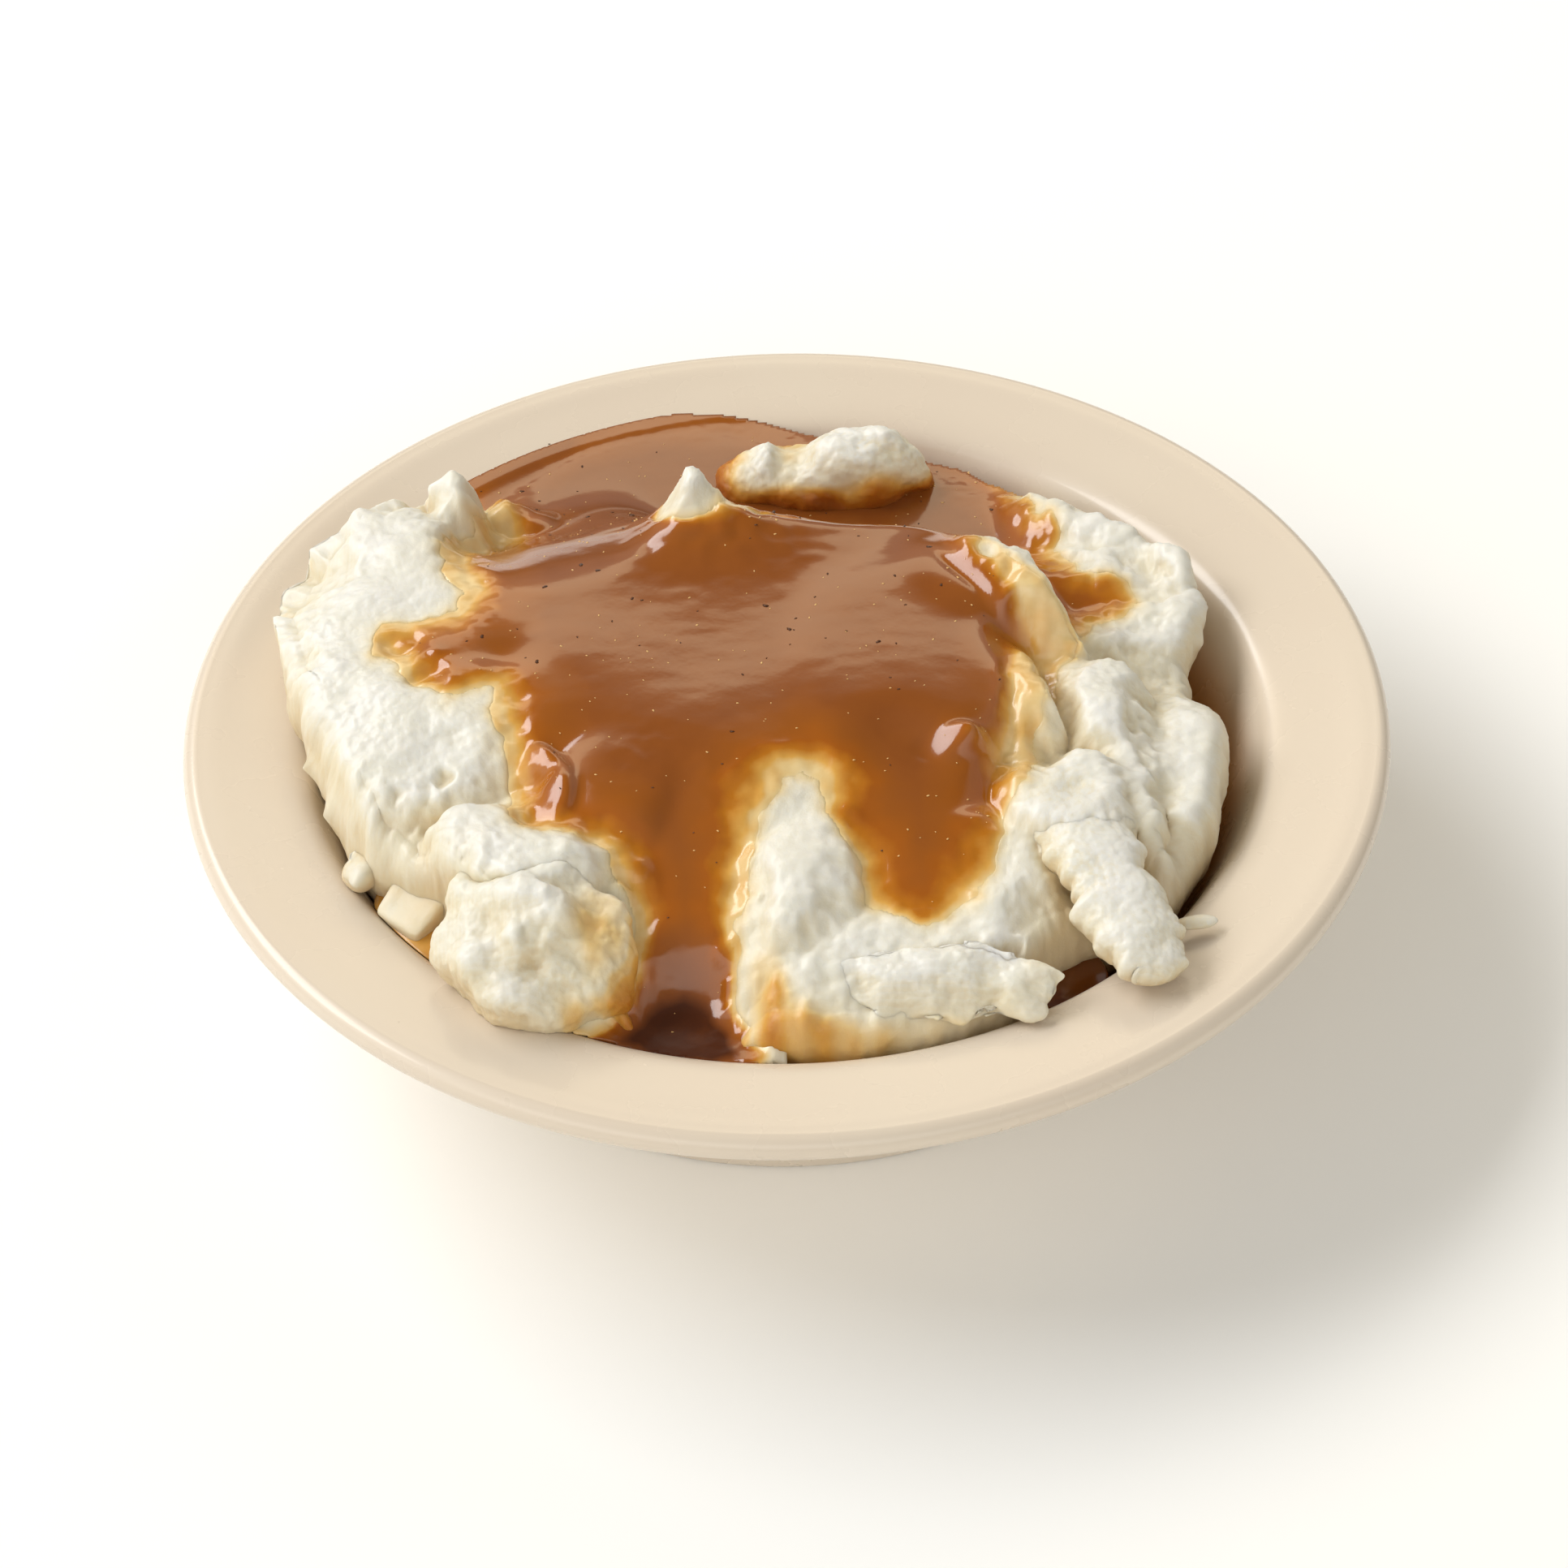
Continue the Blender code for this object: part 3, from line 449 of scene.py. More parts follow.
def gravy_surface(x, y):
    """Height of the gravy's skin and how deep its colour is: the mash's form smoothed over, plus the gravy's
    thickness, and level pools at the back and the front that creep up the dish a little. The front pool's
    colour also carries painted shade that deepens towards the front."""
    depth = gravy_depth(x, y)
    smooth = food_height(x, y, torn_share(depth))
    spot = np.stack([x, y, smooth], axis=-1)
    ripple = 0.07 * noise(spot, 9.0, 90) + 0.012 * noise(spot * (0.5, 1, 1), 1.6, 91)
    crinkled = sum(amount * bump(x, y, *place, 1.5) for *place, amount in CRINKLES)
    height = smooth + film_relief(x, y, smooth, depth) + gravy_rise(depth) + ripple * ease(0.2, 1.0, depth)
    height = height + crinkled * noise(spot, 1.4, 93) * ease(-0.6, 0.1, depth)
    creep = 0.25 * np.exp(-np.maximum(well_wall(BACK_POOL_LEVEL) - np.hypot(x, y), 0) / 0.7)
    back = (y > POOLS_FROM[0]) & ((depth > -1.0) | (x < HIDDEN_LEFT))
    height = np.where(back, smooth_max(height, BACK_POOL_LEVEL + creep, 0.8), height)
    front = (y < POOLS_FROM[1]) & (depth > -1.6)
    height = np.where(front, smooth_max(height, FRONT_POOL_LEVEL + 0 * x, 1.8), height)
    over = np.where(y > 0, BACK_POOL_LEVEL, FRONT_POOL_LEVEL) - smooth
    pooled = np.clip(over + 0.8, 0, 3) * 0.5 * (back | front)
    # Painted shade: the front pool is coloured darker towards the front, down in the well under the rim.
    painted_pool_shade = ease(-32, -40, y) * ease(0.05, 0.6, depth)
    colour = np.minimum(stain_of(depth) + pooled, POOL_COLOUR) + painted_pool_shade
    # Nothing but gravy lies behind the heap, so that its margin there keeps the full colour.
    return height, np.maximum(colour, 1.8 * ease(35, 38.5, y) - 0.8)


# ---------------------------------------------------------------- meshes

def mesh_object(name, points, quads, triangles=None, fields=None):
    """A smooth mesh object from points in millimetres, with one number for each point per field."""
    mesh = bpy.data.meshes.new(name)
    triangles = np.zeros((0, 3), int) if triangles is None else np.asarray(triangles)
    corners = np.concatenate([np.ravel(quads), np.ravel(triangles)]).astype(np.int32)
    mesh.vertices.add(len(points))
    mesh.vertices.foreach_set("co", (np.asarray(points) * MM).astype(np.float32).ravel())
    mesh.loops.add(len(corners))
    mesh.loops.foreach_set("vertex_index", corners)
    starts = np.concatenate([np.arange(len(quads)) * 4, len(quads) * 4 + np.arange(len(triangles)) * 3])
    mesh.polygons.add(len(starts))
    mesh.polygons.foreach_set("loop_start", starts.astype(np.int32))
    mesh.update(calc_edges=True)
    mesh.validate()
    mesh.shade_smooth()
    for field, values in (fields or {}).items():
        attribute = mesh.attributes.new(field, "FLOAT", "POINT")
        attribute.data.foreach_set("value", np.ravel(values).astype(np.float32))
    obj = bpy.data.objects.new(name, mesh)
    bpy.context.scene.collection.objects.link(obj)
    return obj


def finished(obj, material, slot, *replaced):
    """Gives a piece its finish, its place in the frame and the CAD nodes that it stands for."""
    obj.data.materials.append(material)
    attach(obj, ROOT)
    if replaced:
        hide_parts(*replaced)
    return obj


def disc_grid(count):
    """A square grid laid on the unit disc ring by ring: how far out and at what angle each point lies."""
    line = np.linspace(-1, 1, count)
    u, v = np.meshgrid(line, line, indexing="ij")
    wide = np.abs(u) >= np.abs(v)
    reach = np.where(wide, u, v)
    turn = np.pi / 4 * np.where(wide, v, u) / np.where(reach == 0, 1, reach)
    angle = np.where(wide, turn, np.pi / 2 - turn)
    return np.abs(reach), np.arctan2(reach * np.sin(angle), reach * np.cos(angle))


def grid_quads(rows, columns, wrap=False):
    """The four corners of each cell of a grid, turning anticlockwise, the last column joined to the first."""
    index = np.arange(rows * columns).reshape(rows, columns)
    if wrap:
        index = np.concatenate([index, index[:, :1]], axis=1)
    return np.stack([index[:-1, :-1], index[1:, :-1], index[1:, 1:], index[:-1, 1:]], axis=-1).reshape(-1, 4)


def grid_normals(points):
    """Unit normals of a grid of points, the cross product of its two slopes."""
    normal = np.cross(np.gradient(points, axis=0), np.gradient(points, axis=1))
    return normal / np.maximum(np.linalg.norm(normal, axis=-1, keepdims=True), 1e-9)


def closing_fan(count, middle):
    """Triangles from the square grid's border to one point below it."""
    index = np.arange(count * count).reshape(count, count)
    border = np.concatenate([index[:-1, 0], index[-1, :-1], index[:0:-1, -1], index[0, :0:-1]])
    return np.stack([np.roll(border, -1), border, np.full(len(border), middle)], axis=1)


# The dish's inside, from the floor of the well out over the rim: heights and radii.
WELL_HEIGHTS = (3.4, 4.1, 6.2, 10.4, 21.9, 23.2, 23.9, 24.3, 24.9, 25.4)
WELL_RADII = (30, 34.7, 38.7, 41.7, 46.9, 47.7, 48.6, 50.2, 55.7, 70)


def well_wall(height):
    """The widest that food may be at a height, inside the dish's wall and over its rim."""
    return np.interp(height, WELL_HEIGHTS, WELL_RADII)


def held_by_dish(points):
    """Points moved in along their radius where they would stand inside the dish."""
    radius = np.hypot(points[..., 0], points[..., 1])
    share = np.minimum(1, (well_wall(points[..., 2]) + 0.1) / np.maximum(radius, 1e-6))
    points[..., 0] *= share
    points[..., 1] *= share
    return points


def edge_knots(first, last, step=3):
    """Knots of the heap's edge between two angles, as x, y and the height where it is widest."""
    table = np.array(HEAP_EDGE, float)
    angles = np.arange(first, last + 0.1, step)
    radius = np.interp(angles, table[:, 0], table[:, 1], period=360)
    height = np.interp(angles, table[:, 0], table[:, 2], period=360)
    turn = np.radians(angles)
    return np.stack([radius * np.cos(turn), radius * np.sin(turn), height], axis=1)


def ring_round(knots, centre, angle):
    """Distance from the centre, and height, of a closed outline in each direction."""
    offset = knots[:, :2] - centre
    turns = np.arctan2(offset[:, 1], offset[:, 0])
    order = np.argsort(turns)
    reach = np.interp(angle, turns[order], np.hypot(offset[:, 0], offset[:, 1])[order], period=2 * np.pi)
    height = np.interp(angle, turns[order], knots[order, 2], period=2 * np.pi)
    return reach, height


# How wide a mound's rounded shoulder is, how much of its grid lies on top, and the height of its foot,
# which draws in under the widest ring.
SHOULDER = 2.4
TOP_SHARE = 0.84
FOOT = 9.0
FOOT_DRAWS_IN = 5.5

# Torn tips drawn out of the mash: x, y, z, radius, and how far the tip goes in x, y and z.
TIPS = (
    (-50.6, 15.0, 30.0, 1.8, -2.6, 0.4, 0.3),
    (-49.6, 9.0, 30.0, 2.4, -1.0, 0.2, 0.6),
    (-47.0, 19.0, 31.0, 1.8, -1.2, 0.6, 0.6),
    (-43.2, 22.6, 32.2, 2.2, -0.4, 0.8, 1.0),
    (-36.4, 26.6, 33.4, 1.2, -1.4, 0.4, 0.8),
    (-33.8, 28.4, 33.8, 1.3, 0.2, 0.4, 1.8),
    (-26.6, 30.4, 31.0, 1.6, 0.6, 0.4, 1.2),
    (-45.8, -9.4, 27.0, 1.6, -2.0, 0.2, 0.0),
    (-46.8, -2.0, 28.4, 1.6, -1.2, 0.0, 0.2),
    (-44.0, -15.0, 26.0, 1.6, -1.2, -0.4, 0.2),
    (28.8, 0.6, 32.6, 1.2, 2.2, -0.4, 0.0),
    (42.8, 20.4, 27.8, 1.6, 1.0, 0.6, 0.9),
    (42.6, 12.6, 27.0, 1.8, 1.4, 0.2, 0.2),
    (43.0, 7.4, 25.2, 1.6, 1.0, -0.8, 0.4),
    (23.0, 14.8, 35.4, 1.4, 0.8, 0.4, 0.9),
)

# Where the mash is lumpy like curds instead of smooth: x, y, half length, half width, turn, how much.
CURDS = (
    (34, 17, 14, 15, 20, 1.0),
    (10, -40, 22, 7, 0, 0.75),
    (-22, -37, 12, 9, 0, 1.0),
    (-46, -10, 5, 22, 8, 0.3),
    (-45, 20, 8, 9, 0, 0.5),
    (26, -17, 10, 5, 0, 0.6),
    (-28, -26, 8, 6, 0, 0.4),
    (36, -6, 8, 10, 0, 0.35),
    (5, 38, 14, 6, 0, 1.0),
)


def drawn_out(points):
    """Points pulled along each tip's direction, most at its middle: exp(-distance / radius)."""
    moved = points
    for x, y, z, radius, along_x, along_y, along_z in TIPS:
        distance = np.linalg.norm(points - (x, y, z), axis=-1)
        moved = moved + np.exp(-((distance / radius) ** 1.3))[..., None] * (along_x, along_y, along_z)
    return moved


def mash_patch(name, knots, centre, count, material, *replaced):
    """A mound over two parameters, share of the way out and angle: the food's height inside, sunk where
    thick gravy hides it, then a rounded shoulder, the side and a flat foot, all pushed along their
    normals by the mash's relief."""
    centre = np.array(centre, float)
    share, angle = disc_grid(count)
    reach, widest = ring_round(knots, centre, angle)
    heading = np.stack([np.cos(angle), np.sin(angle)], axis=-1)
    around = np.stack([reach * heading[..., 0], reach * heading[..., 1], widest], axis=-1)
    reach = reach + 0.6 * noise(around, 5.0, 11) + 0.3 * noise(around, 2.1, 12)
    inner = (reach - SHOULDER) * np.minimum(share / TOP_SHARE, 1)
    plan = centre + heading * inner[..., None]
    stain = gravy_depth(plan[..., 0], plan[..., 1])
    top = food_height(plan[..., 0], plan[..., 1], torn_share(stain))
    top = top + film_relief(plan[..., 0], plan[..., 1], top, stain)
    top = top - 0.22 * ease(-0.06, 0.05, stain) - 2.3 * ease(0.12, 0.6, stain)
    # Down the side: a quarter turn at the shoulder, then a fall that draws in to the foot.
    down = np.clip((share - TOP_SHARE) / (1 - TOP_SHARE), 0, 1)
    widest = np.minimum(widest, top - 0.6)
    round_share = np.minimum(down / 0.4, 1)
    fall = np.clip((down - 0.4) / 0.6, 0, 1)
    out = SHOULDER * np.sin(round_share * np.pi / 2) - FOOT_DRAWS_IN * fall**1.5
    drop = (top - widest) * (1 - np.cos(round_share * np.pi / 2)) + (widest - FOOT - 1.0) * fall
    plan = plan + heading * out[..., None]
    points = np.concatenate([plan, (top - drop)[..., None]], axis=-1)
    keep = (1 - ease(0.2, 0.8, fall)) * (1 - ease(-1.8, 0.0, stain))
    broad, fine = mash_relief(points)
    points = points + grid_normals(points) * (broad * keep)[..., None]
    points = points + grid_normals(points) * (fine * keep)[..., None]
    points = held_by_dish(drawn_out(points))
    points[..., 2] = np.maximum(points[..., 2], FOOT)
    flat = np.vstack([points.reshape(-1, 3), [centre[0], centre[1], FOOT]])
    # The mound's tint is gravy stain and, in places, painted warm shade.
    obj = mesh_object(
        name,
        flat,
        grid_quads(count, count),
        closing_fan(count, count * count),
        {"gravy": np.append(mash_stain_and_shade(plan[..., 0], plan[..., 1]), 0)},
    )
    return finished(obj, material, "mash", *replaced)


def mash_relief(points):
    """Broad and fine relief of spooned mash, in millimetres along the surface's normal: slow swells
    everywhere, rounded curds where it is lumpy, and a fine grain."""
    curdy = sum(amount * bump(points[..., 0], points[..., 1], *place, 2.0) for *place, amount in CURDS)
    curdy = 0.26 + 0.74 * np.clip(curdy, 0, 1)
    warped = points + 0.9 * np.stack([noise(points, 3.4, 40 + k) for k in range(3)], axis=-1)
    soft = 0.55 * noise(points, 9.0, 1) + 0.3 * noise(points, 4.5, 2)
    domes = 0.16 * (clods(warped, 3.1, 6) - 0.45)
    lumpy = 0.55 * noise(warped, 3.6, 5) + domes + 0.12 * noise(warped, 1.7, 7)
    broad = soft + curdy * lumpy
    fine = (0.4 + 0.6 * curdy) * (0.15 * noise(points, 0.95, 70)) + 0.04 * noise(points, 0.5, 80)
    return broad, fine


def lump_surface(rows, columns):
    """Unit directions of a ball: rows from one pole on the x axis to the other, columns round it."""
    tilt = np.linspace(0, np.pi, rows)[:, None]
    turn = np.linspace(0, 2 * np.pi, columns, endpoint=False)[None, :]
    return np.stack(
        [np.cos(tilt) + 0 * turn, np.sin(tilt) * np.cos(turn), np.sin(tilt) * np.sin(turn)],
        axis=-1,
    )


def ball_normals(points):
    """Unit normals of a grid that wraps round in its columns, from its two slopes."""
    wrapped = np.concatenate([points[:, -1:], points, points[:, :1]], axis=1)
    along = np.gradient(points, axis=0)
    around = np.gradient(wrapped, axis=1)[:, 1:-1]
    normal = np.cross(along, around)
    normal = normal / np.maximum(np.linalg.norm(normal, axis=-1, keepdims=True), 1e-9)
    normal[0] = normal[1].mean(axis=0)
    normal[-1] = normal[-2].mean(axis=0)
    return normal / np.maximum(np.linalg.norm(normal, axis=-1, keepdims=True), 1e-9)


def tube_object(name, points, material, slot, *replaced, fields=None):
    """A closed object from a grid whose columns go round and whose first and last rows are poles."""
    rows, columns = points.shape[:2]
    flat = np.vstack([points[0, :1], points[1:-1].reshape(-1, 3), points[-1, :1]])
    inner = grid_quads(rows - 2, columns, wrap=True) + 1
    first = 1 + np.arange(columns)
    last = 1 + (rows - 3) * columns + np.arange(columns)
    start = np.stack([np.zeros(columns, int), first, np.roll(first, -1)], axis=1)
    end = np.stack([np.full(columns, len(flat) - 1), np.roll(last, -1), last], axis=1)
    flat_fields = {
        key: np.concatenate([value[0, :1], value[1:-1].ravel(), value[-1, :1]])
        for key, value in (fields or {}).items()
    }
    obj = mesh_object(name, flat, inner, np.vstack([start, end]), flat_fields)
    return finished(obj, material, slot, *replaced)


def mash_lump(
    name, place, size, turn, lean, relief_scale, cells, material, *replaced,
    boxy=1.0, lobes=(), crest=(), bathed=False,
):
    """A ball drawn out to its half sizes, with lobes that swell towards their directions and a crest that
    scales its upper half along its length, leant and turned, then pushed out by the relief."""
    unit = lump_surface(*cells)
    swell = 1.0
    for *towards, spread, amount in lobes:
        swell = swell + amount * np.exp((unit @ unit_of(towards) - 1) / spread)
    shape = np.sign(unit) * np.abs(unit) ** boxy * size * np.asarray(swell)[..., None]
    if crest:
        along, factor = eased_rows(np.array(crest, float), 8).T
        shape[..., 2] *= 1 + (np.interp(unit[..., 0], along, factor) - 1) * ease(-0.2, 0.2, unit[..., 2])
    shape[..., 2] += shape[..., 1] * np.tan(np.radians(lean))
    angle = np.radians(turn)
    x = shape[..., 0] * np.cos(angle) - shape[..., 1] * np.sin(angle)
    y = shape[..., 0] * np.sin(angle) + shape[..., 1] * np.cos(angle)
    points = np.stack([x, y, shape[..., 2]], axis=-1) + place
    swells = 0.9 * noise(points, 5.5, 21) + 0.4 * noise(points, 2.9, 22)
    points = points + ball_normals(points) * (swells * relief_scale)[..., None]
    broad, fine = mash_relief(points)
    points = points + ball_normals(points) * (broad * relief_scale)[..., None]
    points = points + ball_normals(points) * (fine * min(relief_scale, 1.0))[..., None]
    points = held_by_dish(points)
    # The tint is gravy stain and, in places, painted warm shade.
    stain = mash_stain_and_shade(points[..., 0], points[..., 1])
    if bathed:
        # It stands in the back pool, whose colour has crept up its foot.
        wetted = 1.0 - 0.38 * (points[..., 2] - BACK_POOL_LEVEL) + 0.6 * noise(points, 4.0, 95)
        stain = np.minimum(stain, wetted)
    return tube_object(name, points, material, "mash", *replaced, fields={"gravy": stain})


# ---------------------------------------------------------------- finishes

def linear(hexed, alpha=1.0):
    """Linear colour from an sRGB hex value."""
    value = np.array([int(hexed[k : k + 2], 16) / 255 for k in (1, 3, 5)])
    value = np.where(value <= 0.04045, value / 12.92, ((value + 0.055) / 1.055) ** 2.4)
    return (*value.tolist(), alpha)


def add(tree, kind, settings=None, links=None):
    """One node with its settings, and links from other nodes' sockets to its inputs."""
    node = tree.nodes.new(kind)
    for key, value in (settings or {}).items():
        if isinstance(key, int) or key in node.inputs:
            node.inputs[key].default_value = value
        else:
            setattr(node, key, value)
    for socket, source in (links or {}).items():
        tree.links.new(source, node.inputs[socket])
    return node


def ramp(tree, value, stops, interpolation="LINEAR"):
    """A colour ramp over stops of (place, sRGB hex)."""
    node = add(tree, "ShaderNodeValToRGB", {}, {"Fac": value})
    node.color_ramp.interpolation = interpolation
    elements = node.color_ramp.elements
    while len(elements) < len(stops):
        elements.new(0.5)
    for element, (place, colour) in zip(elements, stops):
        element.position = place
        element.color = linear(colour)
    return node.outputs["Color"]


def principled(name, settings):
    """A new material with a Principled shader joined to its output."""
    made = bpy.data.materials.new(name)
    made.use_nodes = True
    tree = made.node_tree
    tree.nodes.clear()
    output = add(tree, "ShaderNodeOutputMaterial")
    shader = add(tree, "ShaderNodeBsdfPrincipled", settings)
    tree.links.new(shader.outputs["BSDF"], output.inputs["Surface"])
    return made, tree, shader


def object_place(tree):
    """The place on the object itself, in metres."""
    return add(tree, "ShaderNodeTexCoord").outputs["Object"]


def pattern(tree, place, size_mm, detail=2.0, roughness=0.5):
    """Noise whose grain is this many millimetres across."""
    return add(
        tree,
        "ShaderNodeTexNoise",
        {"Scale": 1 / (size_mm * MM), "Detail": detail, "Roughness": roughness},
        {"Vector": place},
    ).outputs["Fac"]


# How the colour runs from bare mash to deep gravy, by the gravy's thickness: 0.25 is none. The darkest stop
# is reached only where painted shade is added, in the front pool.
GRAVY_STOPS = (
    (0.02, "#DAD8CC"),
    (0.15, "#DED3B6"),
    (0.24, "#DABF88"),
    (0.30, "#CE9C4A"),
    (0.38, "#B06C18"),
    (0.46, "#9A5412"),
    (0.56, "#905017"),
    (0.68, "#894C1B"),
    (0.80, "#7E4419"),
    (1.00, "#4A220A"),
)


def depth_factor(tree):
    """The gravy attribute, from -0.8 mm to 2.4 mm, as 0 to 1. Besides thickness and stain it carries painted
    shade in the front pool and in places on the mash.
    """
    depth = add(tree, "ShaderNodeAttribute", {"attribute_name": "gravy"}).outputs["Fac"]
    return add(
        tree,
        "ShaderNodeMapRange",
        {"From Min": -0.8, "From Max": 2.4},
        {"Value": depth},
    ).outputs["Result"]


def mash_material(looks):
    """Boiled potato, mashed with milk: a moist starch paste that light goes a millimetre or two into, so that
    shade is warm and soft, with a wet skin over a fine grain. Warm shade is also painted into its creases, by
    how sheltered each point is."""
    made, tree, shader = principled(
        "boiled_potato_mash",
        {
            "Roughness": 0.42,
            "IOR": 1.4,
            "Subsurface Weight": 0.7,
            "Subsurface Radius": (1.0, 0.9, 0.74),
            "Subsurface Scale": 0.001,
            "Coat Weight": 0.12,
            "Coat Roughness": 0.28,
            "Coat IOR": 1.35,
        },
    )
    place = object_place(tree)
    body = ramp(tree, pattern(tree, place, 5.0, 3.0), ((0.3, looks.mash_shade), (0.7, looks.mash_light)))
    # Painted shade: the creases are tinted darker and warmer by how sheltered each point is.
    crease_shade_mask = add(tree, "ShaderNodeAttribute", {"attribute_name": "crease_shade_mask"}).outputs["Fac"]
    tone = ramp(tree, crease_shade_mask, ((0.10, "#FFFFFF"), (0.34, looks.crease_shade_tint), (0.62, looks.deep_crease_shade_tint)))
    shaded = add(
        tree,
        "ShaderNodeMix",
        {"data_type": "RGBA", "blend_type": "MULTIPLY", "Factor": 1.0},
        {"A": body, "B": tone},
    )
    # The gravy tint, which in places also holds painted warm shade.
    stain = ramp(tree, depth_factor(tree), GRAVY_STOPS)
    stained = add(
        tree,
        "ShaderNodeMapRange",
        {"From Min": 0.02, "From Max": 0.24, "To Min": 0.0, "To Max": 1.0},
        {"Value": depth_factor(tree)},
    ).outputs["Result"]
    colour = add(
        tree, "ShaderNodeMix", {"data_type": "RGBA"}, {"Factor": stained, "A": mix_out(shaded), "B": stain}
    )
    tree.links.new(mix_out(colour), shader.inputs["Base Color"])
    grain = pattern(tree, place, 0.35, 2.0, 0.6)
    bumped = add(tree, "ShaderNodeBump", {"Strength": 0.4, "Distance": 0.00008}, {"Height": grain})
    tree.links.new(bumped.outputs["Normal"], shader.inputs["Normal"])
    return made


def mix_out(node):
    """The colour output of a Mix node, which has one output for each data type."""
    return next(socket for socket in node.outputs if socket.enabled and socket.type == "RGBA")


def gravy_material():
    """Brown gravy thickened with starch: an even, slightly cloudy liquid, glossy where it is wet, whose
    thin films let the mash glow through as amber and cream."""
    made, tree, shader = principled(
        "brown_gravy_starch",
        {
            "Roughness": 0.13,
            "IOR": 1.45,
            "Coat Weight": 0.2,
            "Coat Roughness": 0.06,
        },
    )
    place = object_place(tree)
    blotch = pattern(tree, place, 3.2, 3.0)
    drift = add(
        tree,
        "ShaderNodeMapRange",
        {"From Min": 0.0, "From Max": 1.0, "To Min": -0.06, "To Max": 0.06},
        {"Value": blotch},
    ).outputs["Result"]
    depth = add(tree, "ShaderNodeMath", {"operation": "ADD"}, {0: depth_factor(tree), 1: drift})
    colour = ramp(tree, depth.outputs["Value"], GRAVY_STOPS)
    tree.links.new(colour, shader.inputs["Base Color"])
    dull = add(
        tree,
        "ShaderNodeMapRange",
        {"From Min": 0.25, "From Max": 0.42, "To Min": 0.27, "To Max": 0.13},
        {"Value": depth_factor(tree)},
    ).outputs["Result"]
    tree.links.new(dull, shader.inputs["Roughness"])
    ripple = pattern(tree, place, 0.9, 2.0, 0.5)
    bumped = add(tree, "ShaderNodeBump", {"Strength": 0.12, "Distance": 0.00008}, {"Height": ripple})
    tree.links.new(bumped.outputs["Normal"], shader.inputs["Normal"])
    return made


# Between which heights the brown tint in the well fades out, partly a smear of gravy and partly painted warm
# shade and bounced light, and the side of the well: radius at a height = slope * height + start.
SMEAR_AND_SHADE_FADES = (15.0, 22.6)
WELL_SIDE = (0.46, 37.3)


def melamine_material(looks):
    """Compression-moulded melamine: a hard opaque tan plastic with a smooth gloss, dulled a little and
    finely marked by washing."""
    made, tree, shader = principled(
        "moulded_melamine_tan",
        {"Roughness": 0.26, "IOR": 1.5, "Coat Weight": 0.15, "Coat Roughness": 0.1},
    )
    place = object_place(tree)
    body = ramp(tree, pattern(tree, place, 18.0, 2.0), ((0.3, looks.dish_shade), (0.7, looks.dish_light)))
    # Below the heap's edge the well is tinted brown: partly gravy that has run down, partly painted warm
    # shade and bounced light.
    height = add(tree, "ShaderNodeSeparateXYZ", {}, {"Vector": place}).outputs["Z"]
    low, high = SMEAR_AND_SHADE_FADES
    fade = {"From Min": low * MM, "From Max": high * MM, "To Min": 1.0, "To Max": 0.0}
    fade["interpolation_type"] = "SMOOTHSTEP"
    smear_and_shade = add(tree, "ShaderNodeMapRange", fade, {"Value": height}).outputs["Result"]
    slope, start = WELL_SIDE
    flat = add(tree, "ShaderNodeVectorMath", {"operation": "MULTIPLY", 1: (1, 1, 0)}, {0: place})
    radius = add(tree, "ShaderNodeVectorMath", {"operation": "LENGTH"}, {0: flat.outputs["Vector"]})
    side = add(tree, "ShaderNodeMath", {"operation": "MULTIPLY_ADD", 1: slope, 2: start * MM}, {0: height})
    inside = add(
        tree,
        "ShaderNodeMath",
        {"operation": "LESS_THAN"},
        {0: radius.outputs["Value"], 1: side.outputs["Value"]},
    )
    share = add(tree, "ShaderNodeMath", {"operation": "MULTIPLY"}, {0: smear_and_shade, 1: inside.outputs["Value"]})
    colour = add(
        tree,
        "ShaderNodeMix",
        {"data_type": "RGBA", "B": linear(looks.dish_smear_and_shade)},
        {"Factor": share.outputs["Value"], "A": body},
    )
    tree.links.new(mix_out(colour), shader.inputs["Base Color"])
    wash = pattern(tree, place, 9.0, 4.0)
    dull = add(
        tree,
        "ShaderNodeMapRange",
        {"From Min": 0.3, "From Max": 0.7, "To Min": 0.26, "To Max": 0.29},
        {"Value": wash},
    ).outputs["Result"]
    tree.links.new(dull, shader.inputs["Roughness"])
    skin = pattern(tree, place, 1.4, 2.0)
    bumped = add(tree, "ShaderNodeBump", {"Strength": 0.02, "Distance": 0.00004}, {"Height": skin})
    tree.links.new(bumped.outputs["Normal"], shader.inputs["Normal"])
    return made


# ---------------------------------------------------------------- settings

def colour_property(name, description, default):
    """A setting that holds a colour as sRGB hex."""
    return bpy.props.StringProperty(name=name, description=description, default=default, maxlen=7)


class DishLooks(bpy.types.PropertyGroup):
    segments: bpy.props.IntProperty(name="Segments", description="Steps round the dish", default=256, min=32)
    dish_light: colour_property("Light tan", "Lighter tone of the melamine, as sRGB hex", "#D5C8B6")
    dish_shade: colour_property("Shaded tan", "Darker tone of the melamine, as sRGB hex", "#D4C6B4")
    # The smear colour is partly painted warm shade and bounced light low in the well.
    dish_smear_and_shade: colour_property("Smear", "Gravy smeared down inside the well, as sRGB hex", "#C88F50")


